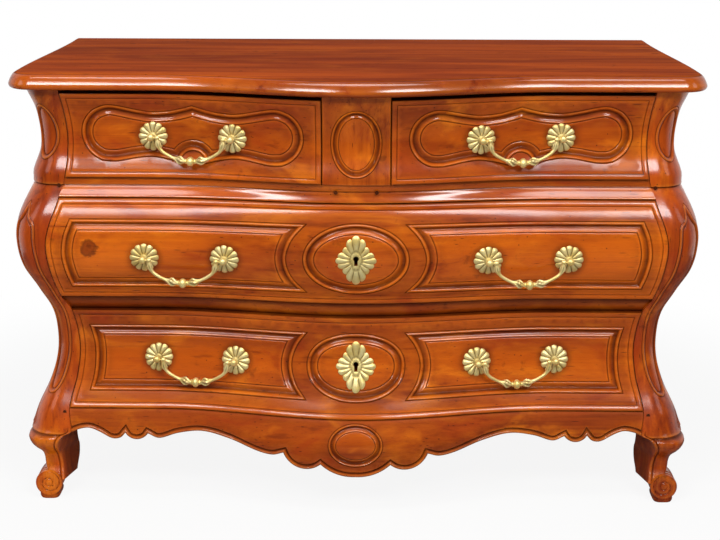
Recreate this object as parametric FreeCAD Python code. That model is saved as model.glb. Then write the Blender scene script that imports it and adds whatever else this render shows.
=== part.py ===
import FreeCAD, Part
import math
import os
from FreeCAD import Vector as V

# Bombe chest of drawers: two short drawers over two long ones, serpentine in plan and
# bombe in height. Millimetres, +Z up, front towards -Y, origin on the floor below the
# centre of the top. Every visible front follows one surface, y = front(x, z).

# ---------------------------------------------------------------- driving dimensions
height = 840.0
top_half_width = 650.0
top_thickness = 29.0
top_front = 325.0            # centre of the top's front edge, from the middle of the depth
top_bow = 79.0               # how far the centre of the top swells past its flat ends
top_corner_radius = 50.0
top_back = 325.0
side_taper = 28.0            # each side draws in by this much towards the back
carcass_back = 319.0
front_inset = 400.0          # flat front ends stand at half_width(z) - front_inset
bow_half_length = 385.0      # the plan bow runs this far each side of the centre line
carcass_top = height - top_thickness

# (height, half width of the carcass): the swelling outline seen from the front
side_profile = [(0, 629), (33, 629), (50, 622), (69, 613), (84, 614), (94, 619), (107, 633), (124, 643),
                (142, 639), (180, 626), (230, 602.5), (280, 588.5), (325, 586), (370, 592), (420, 614),
                (470, 639), (523, 648), (565, 644), (605, 628), (628, 618), (650, 617), (690, 603),
                (725, 601), (770, 609), (800, 621), (811, 625)]
# (height, how far the centre stands in front of the flat ends)
bow_profile = [(0, 62), (100, 62), (200, 61), (330, 54), (380, 49), (420, 41), (500, 38), (560, 39),
               (605, 46), (645, 64), (720, 70), (811, 80)]
# (height, half width between the front posts)
opening_profile = [(0, 557), (40, 557), (69, 553), (107, 551), (142, 552), (190, 557.5), (250, 543.5),
                   (310, 538.5), (379, 550.5), (410, 567.5), (470, 581), (530, 584.5), (606, 560.5),
                   (643, 549), (725, 543.5), (811, 554)]
# (height, how far the leg's inner face slants back from its front arris)
leg_slant_profile = [(0, 10), (33, 13), (69, 22), (105, 29), (122, 27), (134, 18), (142, 0)]
# (height, post depth) and (height, share of the post's width taken by its rounded corner)
post_depth_profile = [(0, 62), (31, 62), (80, 56), (130, 62), (190, 66), (811, 66)]
corner_share_profile = [(0, 0.1), (60, 0.14), (100, 0.5), (150, 0.8), (811, 0.82)]

edge_gap = 1.5               # drawer front to its opening
run_gap = 0.4                # drawer sides above their runners
rail_back = -158.0
apron_top = 187.5
middle_rail_z = (380.5, 408.5)
waist_rail_z = (607.5, 642.6)
upper_opening_top = 804.5
top_rail_z = (786.0, carcass_top)
top_rail_y = (-175.0, -120.0)
stile_half_width = 63.0
skin_thickness = 24.0
drawer_proud = 5.0

wall = 12.0                  # drawer sides and backs
bottom_thickness = 8.0
groove_depth = 5.0
drawer_back_y = 255.0
runner_thickness = 14.0
bottom_board_z = (166.0, 178.0)
rear_post_size = 58.0
rear_post_width = 50.0
back_frame_thickness = 22.0
far = 440.0

foot_scroll_radius = 26.0
foot_scroll_x, foot_scroll_z = 603.0, 33.0
knee_level = 142.0           # the leg below it has its own sections, the apron hangs straight

handle_spacing = 152.0
handle_stand_off = 20.0      # pivot line in front of the drawer front
handle_drop = 43.0
rosette_radius = 27.5
knob_radius = 7.0
shank_radius = 3.0
pin_radius = 1.45
pin_hole_radius = 1.5
bail_radius = 3.3


def at(profile, z):
    """Value at height z of a smooth curve through (height, value) stations."""
    z = min(max(z, profile[0][0]), profile[-1][0])
    i = 0
    while z > profile[i + 1][0]:
        i += 1

    def slope(k):
        a, b = max(k - 1, 0), min(k + 1, len(profile) - 1)
        return (profile[b][1] - profile[a][1]) / (profile[b][0] - profile[a][0])

    (z0, v0), (z1, v1) = profile[i], profile[i + 1]
    span = z1 - z0
    t = (z - z0) / span
    return (v0 * (1 + 2 * t) * (1 - t) ** 2 + v1 * t * t * (3 - 2 * t)
            + span * (slope(i) * t * (1 - t) ** 2 - slope(i + 1) * t * t * (1 - t)))


def half_width(z):
    return at(side_profile, z)


def opening(z):
    return at(opening_profile, z)


def front_end(z):
    """Distance of the flat front ends in front of the middle of the depth."""
    return half_width(z) - front_inset


def bow_share(x):
    if abs(x) >= bow_half_length:
        return 0.0
    return math.cos(math.pi * x / (2 * bow_half_length)) ** 2


def front(x, z):
    """Front surface; the apron hangs straight below the knees."""
    return -(front_end(max(z, knee_level)) + at(bow_profile, z) * bow_share(x))


def taper(y):
    """How far a side has drawn in at depth y: none at the front post, all at the back."""
    t = min(max((y + 120) / (carcass_back + 120), 0), 1)
    return side_taper * t * t * (3 - 2 * t)


# ---------------------------------------------------------------- small tools
def box(x0, x1, y0, y1, z0, z1):
    return Part.makeBox(x1 - x0, y1 - y0, z1 - z0, V(x0, y0, z0))


def line(a, b):
    return Part.makeLine(a, b)


def arc(a, b, c):
    return Part.Arc(a, b, c).toShape()


def spline(points):
    curve = Part.BSplineCurve()
    curve.interpolate(points)
    return curve.toShape()


def face(edges):
    return Part.Face(Part.Wire(Part.__sortEdges__(edges)))


def solid(shape):
    """The one solid of a boolean result, with outward normals."""
    piece = shape.Solids[0] if len(shape.Solids) == 1 else max(shape.Solids, key=lambda s: abs(s.Volume))
    if piece.Volume < 0:
        piece.reverse()
    return piece


def mirrored(shape):
    return shape.mirror(V(0, 0, 0), V(1, 0, 0))


def save(name, *solids):
    shape = solids[0] if len(solids) == 1 else Part.makeCompound(list(solids))
    shape.exportStep("parts/" + name + ".step")
    print(name, "%.0f mm3" % shape.Volume, "valid" if shape.isValid() else "NOT VALID", flush=True)


def heights(z0, z1, step=22.0):
    count = max(int(round((z1 - z0) / step)), 1)
    return [z0 + (z1 - z0) * i / count for i in range(count + 1)]


def p(x, z):
    """Point of an outline drawn on a sheet in front of the chest."""
    return V(x, -far, z)


def upright(edge_x, z0, z1, sign=1):
    """Edge of an outline that follows edge_x(z) from z0 to z1."""
    return spline([p(sign * edge_x(z), z) for z in heights(z0, z1)])


def through(edges):
    """Outline on the front sheet, driven straight back through the chest."""
    return face(edges).extrude(V(0, 2 * far, 0))


def front_panel(z0, z1, left_x, right_x):
    """Outline with level top and bottom; each end is a number or a function of z."""
    left = left_x if callable(left_x) else (lambda z: left_x)
    right = right_x if callable(right_x) else (lambda z: right_x)
    edges = [line(p(left(z0), z0), p(right(z0), z0)), line(p(left(z1), z1), p(right(z1), z1))]
    for end, given in ((left, left_x), (right, right_x)):
        edges.append(upright(end, z0, z1) if callable(given) else line(p(end(z0), z0), p(end(z1), z1)))
    return through(edges)


def front_slab(proud, depth, z0=60.0, z1=830.0):
    """Block of timber whose front is the chest's front surface."""
    rows = [[V(x, front(x, z) - proud, z) for z in heights(z0, z1, 25)]
            for x in heights(-660, 660, 44)]
    surface = Part.BSplineSurface()
    surface.interpolate(rows)
    return solid(surface.toShape().extrude(V(0, depth, 0)))


def side_slab(thickness):
    """Right side of the chest as a bombe board of even thickness."""
    rows = [[V(half_width(z) - taper(y), y, z) for z in heights(60, 830, 25)]
            for y in heights(-260, 340, 60)]
    surface = Part.BSplineSurface()
    surface.interpolate(rows)
    return solid(surface.toShape().extrude(V(-thickness, 0, 0)))


def behind(flat_y, bow):
    """Everything behind an upright wall that is flat at the ends and bows in the middle."""
    edge = spline([V(x, -(flat_y + bow * bow_share(x)), 0) for x in heights(-704, 704, 44)])
    a, b = V(-704, -flat_y, 0), V(704, -flat_y, 0)
    c, d = V(704, far, 0), V(-704, far, 0)
    return face([edge, line(b, c), line(c, d), line(d, a)]).extrude(V(0, 0, height))


# ---------------------------------------------------------------- corner posts and feet
def post_section(z):
    inner, outer = opening(z), half_width(z)
    y_front = -front_end(z)
    y_back = y_front + at(post_depth_profile, z)
    arris = inner + at(leg_slant_profile, z)
    radius = at(corner_share_profile, z) * (outer - arris)
    start, end = V(outer - radius, y_front, z), V(outer, y_front + radius, z)
    bend = radius * (1 - math.sqrt(0.5))
    middle = V(outer - bend, y_front + bend, z)
    a, b, c = V(arris, y_front, z), V(outer, y_back, z), V(inner, y_back, z)
    return Part.Wire([line(a, start), arc(start, middle, end), line(end, b), line(b, c), line(c, a)])


def front_post():
    """One timber from the floor to the top: bombe post, knee, ankle and scrolled foot."""
    leg = Part.makeLoft([post_section(z) for z in heights(foot_scroll_z, knee_level, 12)], True, False)
    post = Part.makeLoft([post_section(z) for z in heights(knee_level, carcass_top, 20)], True, False)
    y_front = -front_end(foot_scroll_z)
    depth = at(post_depth_profile, foot_scroll_z)
    middle = V(foot_scroll_x, y_front, foot_scroll_z)
    scroll = Part.makeCylinder(foot_scroll_radius, depth, middle, V(0, 1, 0))
    pad = box(foot_scroll_x - 20, foot_scroll_x + 20, y_front, y_front + depth, 0, 12)
    return solid(solid(post).fuse(solid(leg)).fuse([scroll, pad]).removeSplitter())


def rear_post():
    def section(z):
        outer = half_width(z)
        width = rear_post_width if z > 142 else at([(0, 44), (80, 40), (142, rear_post_width)], z)
        y0 = carcass_back - rear_post_size
        a, b = V(outer - taper(y0), y0, z), V(outer - side_taper, carcass_back, z)
        c, d = V(outer - side_taper - width, carcass_back, z), V(outer - side_taper - width, y0, z)
        return Part.makePolygon([a, b, c, d, a])

    return solid(Part.makeLoft([section(z) for z in heights(0, carcass_top, 21)], True, False))


front_post_right = front_post()
rear_post_right = rear_post()
posts = [front_post_right, mirrored(front_post_right), rear_post_right, mirrored(rear_post_right)]
save("rear_post_right", rear_post_right)
save("rear_post_left", posts[3])


# ---------------------------------------------------------------- top
def top_board():
    z0 = carcass_top
    flat = -(top_front - top_bow)
    reach = top_half_width - top_corner_radius
    right = [(top_half_width - side_taper * t * t * (3 - 2 * t), flat + top_corner_radius
              + t * (top_back - flat - top_corner_radius)) for t in (0, 0.2, 0.4, 0.6, 0.8, 1)]
    bend = top_corner_radius * (1 - math.sqrt(0.5))
    bow = [V(x, flat - top_bow * bow_share(x), z0) for x in heights(-reach, reach, 50)]
    edges = [spline(bow)]
    for s in (1, -1):
        edges.append(arc(V(s * reach, flat, z0), V(s * (top_half_width - bend), flat + bend, z0),
                         V(s * top_half_width, flat + top_corner_radius, z0)))
        curve = Part.BSplineCurve()
        curve.interpolate(Points=[V(s * x, y, z0) for x, y in right], InitialTangent=V(0, 1, 0),
                          FinalTangent=V(0, 1, 0))
        edges.append(curve.toShape())
    edges.append(line(V(-right[-1][0], top_back, z0), V(right[-1][0], top_back, z0)))
    board = face(edges).extrude(V(0, 0, top_thickness))

    def nosed(edge, z):
        level = abs(edge.BoundBox.ZMin - z) < 0.01 and abs(edge.BoundBox.ZMax - z) < 0.01
        return level and edge.BoundBox.YMin < top_back - 1

    board = board.makeFillet(11.0, [e for e in board.Edges if nosed(e, height)])
    return solid(board.makeFillet(13.0, [e for e in board.Edges if nosed(e, z0)]))


save("top_board", top_board())

# ---------------------------------------------------------------- front frame
frame_slab = front_slab(0, 210)
skin = front_slab(0, skin_thickness)
into_post = 3.0


def seat(shape, *others):
    return solid(shape.cut(list(others)))


def shifted(shape, x=0.0, y=0.0):
    copy = shape.copy()
    copy.translate(V(x, y, 0))
    return copy


def between_front_posts(shape):
    """Shoulders of a front member. The posts' inner faces run straight back, so the cut is made
    with posts shifted along them, clear of the front faces that the member shares."""
    step = 15.0
    return seat(shape, *[shifted(post, y=s * step) for post in posts[:2] for s in (-1, 1)])


def between_side_posts(shape):
    """The same for a right side board, with posts shifted outwards along their rear faces."""
    step = 13.0
    return seat(shape, shifted(posts[0], x=step), shifted(posts[2], x=step))


def rail(z_range):
    outline = front_panel(z_range[0], z_range[1], lambda z: -opening(z) - into_post,
                          lambda z: opening(z) + into_post)
    block = outline.common(frame_slab).common(box(-700, 700, -far, rail_back, 0, height))
    return between_front_posts(solid(block))


def apron_edge(sign):
    """Half of the apron's lower edge, from the leg to the point beside the centre lobe."""
    def scallop(a, low, b):
        return arc(p(sign * a[0], a[1]), p(sign * low[0], low[1]), p(sign * b[0], b[1]))

    cusps = [(448, 141), (404, 140), (139, 119), (67, 100)]
    end = (opening(142) + into_post, 142)
    return [
        spline([p(sign * x, z) for x, z in (end, (536, 148), (518, 150), (498, 143), (474, 130), (458, 131),
                                            cusps[0])]),
        scallop(cusps[0], (425, 128), cusps[1]),
        spline([p(sign * x, z) for x, z in (cusps[1], (382, 131), (345, 142), (297, 148), (245, 138),
                                            (190, 118), (160, 113), cusps[2])]),
        scallop(cusps[2], (103, 90), cusps[3]),
        scallop(cusps[3], (36, 82), (0, 77)),
    ]


def front_apron():
    end = opening(142) + into_post
    outline = through(apron_edge(1) + apron_edge(-1) + [
        upright(lambda z: opening(z) + into_post, 142, apron_top),
        upright(lambda z: opening(z) + into_post, 142, apron_top, -1),
        line(p(-opening(apron_top) - into_post, apron_top), p(opening(apron_top) + into_post, apron_top))])
    return between_front_posts(solid(outline.common(skin)))


waist_rail = rail(waist_rail_z)
middle_rail = rail(middle_rail_z)
apron = front_apron()
stile_outline = front_panel(waist_rail_z[1], carcass_top, -stile_half_width, stile_half_width)
centre_stile = solid(stile_outline.common(frame_slab).common(
    box(-100, 100, -far, top_rail_y[0], 0, height)))
front_top_rail = seat(box(-560, 560, *top_rail_y, *top_rail_z), posts[0], posts[1])
save("front_top_rail", front_top_rail)
save("centre_stile", centre_stile)
save("front_apron", apron)

# ---------------------------------------------------------------- sides
board_slab = side_slab(skin_thickness)


def side_outline(z_low, z_high, lower_edge):
    """Side view of a board that runs from inside the front post to inside the rear post."""
    y_front = [V(0, -front_end(z) + at(post_depth_profile, z) - into_post, z)
               for z in heights(z_low(-1), z_high)]
    y_rear = carcass_back - rear_post_size + into_post
    edges = [spline(y_front), line(V(0, y_front[-1].y, z_high), V(0, y_rear, z_high)),
             line(V(0, y_rear, z_high), V(0, y_rear, z_low(1)))] + lower_edge(y_front[0].y, y_rear)
    return face(edges).extrude(V(700, 0, 0))


def straight_edge(z):
    return lambda y0, y1: [line(V(0, y0, z), V(0, y1, z))]


def side_apron_edge(y0, y1):
    middle = (y0 + y1) / 2
    reach = (y1 - y0) / 2
    right = [(1, 142), (0.9, 149), (0.72, 146), (0.5, 128), (0.32, 133)]
    edges = []
    for s in (-1, 1):
        edges.append(spline([V(0, middle + s * reach * share, z) for share, z in right]))
    edges.append(arc(V(0, middle - reach * 0.32, 133), V(0, middle, 108), V(0, middle + reach * 0.32, 133)))
    return edges


side_joint_z = 187.5
side_panel = side_outline(lambda end: side_joint_z, carcass_top, straight_edge(side_joint_z))
side_panel_right = between_side_posts(solid(side_panel.common(board_slab)))
side_apron = side_outline(lambda end: 142.0, side_joint_z, side_apron_edge)
side_apron_right = between_side_posts(solid(side_apron.common(board_slab)))
save("side_panel_right", side_panel_right)
save("side_panel_left", mirrored(side_panel_right))
save("side_apron_right", side_apron_right)
save("side_apron_left", mirrored(side_apron_right))
boards = [side_panel_right, mirrored(side_panel_right), side_apron_right, mirrored(side_apron_right)]

# ---------------------------------------------------------------- inside the carcass
rear_face = carcass_back - back_frame_thickness
inner_post_y = carcass_back - rear_post_size


def bottom_board():
    z0, z1 = bottom_board_z
    margin = skin_thickness / 2
    right = [V(half_width(z0) - margin - taper(y), y, z0) for y in heights(-170, rear_face, 90)]
    left = [V(-v.x, v.y, v.z) for v in right]
    front_y = -(front_end(z0) - margin)
    bow = spline([V(x, front_y - at(bow_profile, z0) * bow_share(x), z0) for x in heights(-528, 528, 44)])
    a, b = V(-528, front_y, z0), V(528, front_y, z0)
    plan = face([bow, line(b, right[0]), spline(right), line(right[-1], left[-1]), spline(left),
                 line(left[0], a)])
    return seat(plan.extrude(V(0, 0, z1 - z0)), apron, *posts, *boards)


save("bottom_board", bottom_board())


def both(shape):
    return [shape, mirrored(shape)]


def runner_pair(inner_x, outer_x, top, y_end):
    runner = box(inner_x, outer_x, rail_back, y_end, top - runner_thickness, top)
    return both(seat(runner, side_panel_right, posts[0]))


centre_runner = box(-85, 85, rail_back, rear_face, waist_rail_z[1] - runner_thickness, waist_rail_z[1])
save("upper_runners", *runner_pair(508, 556, waist_rail_z[1], inner_post_y), centre_runner)
save("middle_runners", *runner_pair(520, 572, middle_rail_z[1], inner_post_y))
save("lower_runners", *both(box(498, 545, -150, inner_post_y, bottom_board_z[1], apron_top)))

upper_box, middle_box, lower_box = 538.0, 552.0, 530.0    # half widths over the drawer sides
inner_side_x = 67.0                                       # short drawers' inner sides
guide_gap = 0.6
guide_height = 14.0


def guide(side_x, outer_x, z):
    return both(seat(box(side_x + guide_gap, outer_x, -130, 250, z, z + guide_height), side_panel_right))


centre_guide = box(-inner_side_x + guide_gap, inner_side_x - guide_gap, top_rail_y[0], rear_face,
                   waist_rail_z[1], waist_rail_z[1] + 3 * guide_height)
save("drawer_guides", *guide(upper_box, 556, waist_rail_z[1]), *guide(middle_box, 572, middle_rail_z[1]),
     *guide(lower_box, 545, apron_top), centre_guide)

# framed back: two rails and a muntin, with two panels let into their grooves
panel_thickness = 8.0
panel_tongue = 8.0
back_rails_z = ((166.0, 240.0), (736.0, carcass_top))
muntin_half_width = 35.0


def back_panel():
    z0, z1 = back_rails_z[0][1] - panel_tongue, back_rails_z[1][0] + panel_tongue
    y0 = rear_face + 7
    raw = box(muntin_half_width - panel_tongue, 570, y0, y0 + panel_thickness, z0, z1)
    return seat(raw, posts[2])


panel_right = back_panel()
panels = both(panel_right)
muntin = box(-muntin_half_width, muntin_half_width, rear_face, carcass_back, back_rails_z[0][1],
             back_rails_z[1][0])
save("back_panels", *panels)
save("back_muntin", seat(muntin, *panels))
for name, (z0, z1) in zip(("back_bottom_rail", "back_top_rail"), back_rails_z):
    raw = box(-580, 580, rear_face, carcass_back, z0, z1)
    save(name, seat(raw, posts[2], posts[3], *panels, *boards))

# pegs through the waist rail into the stile's tenon, and through the posts into the rails
peg_radius = 3.5
peg_length = 30.0
peg_spots = [(38, 628), (560, 628), (566, 180)]


def peg(x, z):
    return Part.makeCylinder(peg_radius, peg_length, V(x, front(x, z) - 0.6, z), V(0, 1, 0))


pegs = [peg(s * x, z) for x, z in peg_spots for s in (1, -1)]
save("frame_pegs", *pegs)
save("front_post_right", seat(posts[0], *pegs))
save("front_post_left", seat(posts[1], *pegs))


# ---------------------------------------------------------------- drawers
class Drawer:
    """Sizes of one drawer: its opening, the run of its inner face, and its box."""

    def __init__(self, name, z_range, left, right, box_x, flat_y, bow, side_top):
        self.name = name
        self.z0, self.z1 = z_range
        self.left, self.right = left, right
        self.box_x = box_x
        self.flat_y, self.bow = flat_y, bow
        self.side_top = side_top

    def inner_y(self, x):
        return -(self.flat_y + self.bow * bow_share(x))


def outer_edge(z):
    return opening(z) - edge_gap


stile_edge = stile_half_width + edge_gap
drawers = [
    Drawer("upper_left", (waist_rail_z[1], upper_opening_top), lambda z: -outer_edge(z), -stile_edge,
           (-upper_box, -inner_side_x), 182, 64, 778),
    Drawer("upper_right", (waist_rail_z[1], upper_opening_top), stile_edge, outer_edge,
           (inner_side_x, upper_box), 182, 64, 778),
    Drawer("middle", (middle_rail_z[1], waist_rail_z[0]), lambda z: -outer_edge(z), outer_edge,
           (-middle_box, middle_box), 191, 38, 590),
    Drawer("lower", (apron_top, middle_rail_z[0]), lambda z: -outer_edge(z), outer_edge,
           (-lower_box, lower_box), 167, 50, 366),
]
drawer_slab = front_slab(drawer_proud, 150)
tail_depth = 9.0
tail_narrow, tail_wide = 6.0, 9.0


def drawer_tail(d, x_mid):
    """Upright dovetail on the front end of a drawer side, which slides into the front."""
    y0 = d.inner_y(x_mid) + 3
    y1 = d.inner_y(x_mid) - tail_depth
    z0 = d.z0 + run_gap
    a = V(x_mid - tail_narrow / 2, y0, z0)
    b = V(x_mid + tail_narrow / 2, y0, z0)
    c = V(x_mid + tail_wide / 2, y1, z0)
    e = V(x_mid - tail_wide / 2, y1, z0)
    return Part.Face(Part.makePolygon([a, b, c, e, a])).extrude(V(0, 0, d.side_top - z0))


def make_drawer(d, block, cuts):
    """Front, two sides, back and bottom. Cuts are holes bored through the front's block."""
    z0 = d.z0 + run_gap
    x0, x1 = d.box_x

    bottom_z = z0 + 10
    inner_front = [V(x, d.inner_y(x) - groove_depth, bottom_z)
                   for x in heights(x0 + wall - groove_depth, x1 - wall + groove_depth, 40)]
    a, b = inner_front[0], inner_front[-1]
    c, e = V(b.x, drawer_back_y, bottom_z), V(a.x, drawer_back_y, bottom_z)
    bottom = face([spline(inner_front), line(b, c), line(c, e), line(e, a)]).extrude(
        V(0, 0, bottom_thickness))

    sides, tails = [], []
    for x_mid in (x0 + wall / 2, x1 - wall / 2):
        tail = drawer_tail(d, x_mid)
        board = box(x_mid - wall / 2, x_mid + wall / 2, d.inner_y(x_mid) - 12, drawer_back_y, z0, d.side_top)
        sides.append(solid(solid(board.cut(block)).fuse(tail).cut(bottom)))
        tails.append(tail)
    front_board = solid(block.cut(tails + [bottom] + cuts))
    back = box(x0 + wall, x1 - wall, drawer_back_y - wall, drawer_back_y, bottom_z + bottom_thickness,
               d.side_top)
    save("drawer_front_" + d.name, front_board)
    save("drawer_sides_" + d.name, *sides)
    save("drawer_back_" + d.name, back)
    save("drawer_bottom_" + d.name, bottom)


# ---------------------------------------------------------------- handles
class Handle:
    """A bail between two posts; its pivot line runs along the chord of the curved front."""

    def __init__(self, x, z):
        half = handle_spacing / 2
        surface = [V(px, front(px, z) - drawer_proud, z) for px in (x - half, x + half)]
        chord = surface[1] - surface[0]
        self.along = V(chord).normalize()
        self.out = V(self.along.y, -self.along.x, 0)
        middle = (surface[0] + surface[1]) * 0.5
        self.pivot = middle + self.out * handle_stand_off
        self.ends = [middle - self.along * half, middle + self.along * half]

    def place(self, shape):
        """Sets a piece drawn about the pivot, with its length along X, in its place on the front."""
        placed = shape.copy()
        placed.rotate(V(0, 0, 0), V(0, 0, 1), math.degrees(math.atan2(self.along.y, self.along.x)))
        placed.translate(self.pivot)
        return placed


def revolve(profile, origin, axis, sideways):
    """Solid of revolution of (distance along the axis, radius) points about origin."""
    points = [origin + axis * a + sideways * r for a, r in profile]
    outline = Part.makePolygon(points + [points[0]])
    return solid(Part.Face(outline).revolve(origin, axis, 360))


def rosette(h, end, block):
    disc = revolve([(-6, 0), (-6, rosette_radius), (2.0, rosette_radius), (4.2, rosette_radius - 4),
                    (5.0, 12), (3.6, 8), (3.6, 0)], end, h.out, h.along)
    bore = Part.makeCylinder(shank_radius, 30, end - h.out * 10, h.out)
    return solid(disc.cut([block, bore]))


def shank_end(h, end, d):
    """Where the post's axis leaves the back of the drawer front, measured inwards."""
    for step in range(20, 110):
        q = end - h.out * step
        if q.y > d.inner_y(q.x):
            return step
    return 100


def make_handle(h, d, block):
    """Rosettes, posts with nuts, bores for the drawer front, and the swinging bail."""
    rosettes, bail_posts, bores = [], [], []
    for end, inward in zip(h.ends, (h.along, h.along * -1)):
        depth = shank_end(h, end, d)
        reach = depth + 9
        shank = Part.makeCylinder(shank_radius, reach + 4, end - h.out * reach, h.out)
        knob = revolve([(3.6, 0), (3.6, 6.5), (7, 4.4), (12, 4.0), (15, 6.0), (17.5, knob_radius),
                        (22.5, knob_radius), (25, 5.2), (26.5, 0)], end, h.out, h.along)
        centre = end + h.out * handle_stand_off
        hole = Part.makeCylinder(pin_hole_radius, 14, centre - inward * 4, inward)
        nut = Part.makeCylinder(7, 10, end - h.out * (depth + 6), h.out).cut(block)
        bail_posts.append(solid(knob.cut(hole).fuse([shank, solid(nut)])))
        bores.append(Part.makeCylinder(shank_radius, reach + 14, end - h.out * reach, h.out))
        rosettes.append(rosette(h, end, block))
    return rosettes, bail_posts, bores


def make_bail():
    """Drop of the handle: a drooping bar with a ball at the middle and a pin at each end."""
    shoulder = handle_spacing / 2 - 13.5
    # a short straight neck, a tight bend through turn, then one flat arc to the other bend
    neck, turn = 6.0, math.radians(55)
    c, s = math.cos(turn), math.sin(turn)
    fall = handle_drop - neck
    flat_radius = (shoulder * s - fall * (1 - c)) / (c * s - (1 - c) * (1 - s))
    bend_radius = (fall - flat_radius * (1 - s)) / s
    sweep = math.degrees(turn)

    def arc(start, heading, middle, axis, angle):
        face = Part.Face(Part.Wire([Part.Circle(start, heading, bail_radius).toShape()]))
        return solid(face.revolve(middle, axis, angle))

    # the ball is turned so that its seam faces the drawer, clear of the two arms
    ball_middle = V(0, 0, -handle_drop)
    ball = Part.makeSphere(7.5, ball_middle)
    ball.rotate(ball_middle, V(0, 0, 1), 90)
    pieces = []
    for sign in (-1, 1):
        outward, axis = V(sign, 0, 0), V(0, sign, 0)
        neck_end = V(sign * shoulder, 0, -neck)
        bend_end = V(sign * (shoulder - bend_radius * (1 - c)), 0, -neck - bend_radius * s)
        bend_middle = V(sign * (shoulder - bend_radius), 0, -neck)
        flat_middle = V(0, 0, flat_radius - handle_drop)
        pieces.append(Part.makeCylinder(bail_radius, neck, neck_end, V(0, 0, 1)))
        pieces.append(arc(neck_end, V(0, 0, -1), bend_middle, axis, sweep))
        pieces.append(arc(bend_end, V(-sign * s, 0, -c), flat_middle, axis, 90 - sweep))
        pieces.append(Part.makeCylinder(4.3, 8.5, outward * (shoulder - 3), outward))
        pieces.append(Part.makeCylinder(pin_radius, 15.5, outward * (shoulder + 1), outward))
    return solid(ball.fuse(pieces))


handle_spots = {"upper_left": [(-306, 721)], "upper_right": [(306, 721)],
                "middle": [(-323, 497), (323, 497)], "lower": [(-308, 284), (308, 284)]}
bail_names = {"upper_left": ["upper_left"], "upper_right": ["upper_right"],
              "middle": ["middle_left", "middle_right"], "lower": ["lower_left", "lower_right"]}

# ---------------------------------------------------------------- locks
keyhole_z = {"middle": 502.0, "lower": 284.0}
escutcheon_half = (38.0, 48.5)
keyhole_head, keyhole_slot, keyhole_drop = 5.0, 3.0, 13.0
case_half, case_depth = 28.0, 13.0
bolt_half_width, bolt_thickness, bolt_travel = 6.0, 5.0, 10.0
bolt_clearance = 0.3


def keyhole(z):
    head = Part.makeCylinder(keyhole_head, 2 * far, V(0, -far, z + 4), V(0, 1, 0))
    return [solid(head.fuse(box(-keyhole_slot, keyhole_slot, -far, far, z + 4 - keyhole_drop, z + 4)))]


def escutcheon(z, hole, block):
    """Plate bent to the curved front, with a four-way leafy outline."""
    a, b = escutcheon_half
    points = []
    lobes = 8
    for i in range(2 * lobes):
        t = math.pi * i / lobes
        share = 1.0 if i % 2 == 0 else 0.86
        points.append(p(a * share * math.sin(t), z + b * share * math.cos(t)))
    curve = Part.BSplineCurve()
    curve.interpolate(Points=points, PeriodicFlag=True)
    outline = Part.Face(Part.Wire([curve.toShape()])).extrude(V(0, 2 * far, 0))
    plate = outline.common(front_slab(drawer_proud + 3, 12, z - 80, z + 80)).cut([block] + hole)
    return solid(plate)


def lock(d, z):
    """Case screwed inside the front, and a long bolt that rises into the rail above."""
    y0 = d.inner_y(0)
    y_bolt = y0 + 4
    bolt_z0, bolt_z1 = z - 18, d.z1 - edge_gap - 1.5
    bolt = box(-bolt_half_width, bolt_half_width, y_bolt, y_bolt + bolt_thickness, bolt_z0, bolt_z1)
    slot = box(-bolt_half_width - bolt_clearance, bolt_half_width + bolt_clearance,
               y_bolt - bolt_clearance, y_bolt + bolt_thickness + bolt_clearance,
               bolt_z0 - 1, bolt_z1 + bolt_travel + 3)
    case = box(-case_half, case_half, y0 - 2, y0 + case_depth, z - 28, z + 32)
    staple = box(-14, 14, y0 - 2, y0 + case_depth, bolt_z1 - 20, bolt_z1 - 8)
    return bolt, slot, case, staple


# ---------------------------------------------------------------- make the moving parts
bail = make_bail()
mortises = []
for d in drawers:
    block = solid(front_panel(d.z0 + edge_gap, d.z1 - edge_gap, d.left, d.right)
                  .common(drawer_slab).cut(behind(d.flat_y, d.bow)))
    cuts, rosettes, bail_posts = [], [], []
    for spot, bail_name in zip(handle_spots[d.name], bail_names[d.name]):
        handle = Handle(*spot)
        new_rosettes, new_posts, bores = make_handle(handle, d, block)
        rosettes += new_rosettes
        bail_posts += new_posts
        cuts += bores
        save("bail_" + bail_name, handle.place(bail))
    save("rosettes_" + d.name, *rosettes)
    save("bail_posts_" + d.name, *bail_posts)
    if d.name in keyhole_z:
        z = keyhole_z[d.name]
        hole = keyhole(z)
        save("escutcheon_" + d.name, escutcheon(z, hole, block))
        bolt, slot, case, staple = lock(d, z)
        save("lock_bolt_" + d.name, bolt)
        case = solid(case.cut([block, slot] + hole))
        staple = solid(staple.cut([block, slot]))
        save("lock_case_" + d.name, case, staple)
        cuts += hole
        mortises.append(slot)
    make_drawer(d, block, cuts)

save("waist_rail", solid(waist_rail.cut([mortises[0]] + pegs)))
save("middle_rail", solid(middle_rail.cut([mortises[1]])))
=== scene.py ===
import math
import bpy
import numpy as np
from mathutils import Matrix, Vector, geometry


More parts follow.
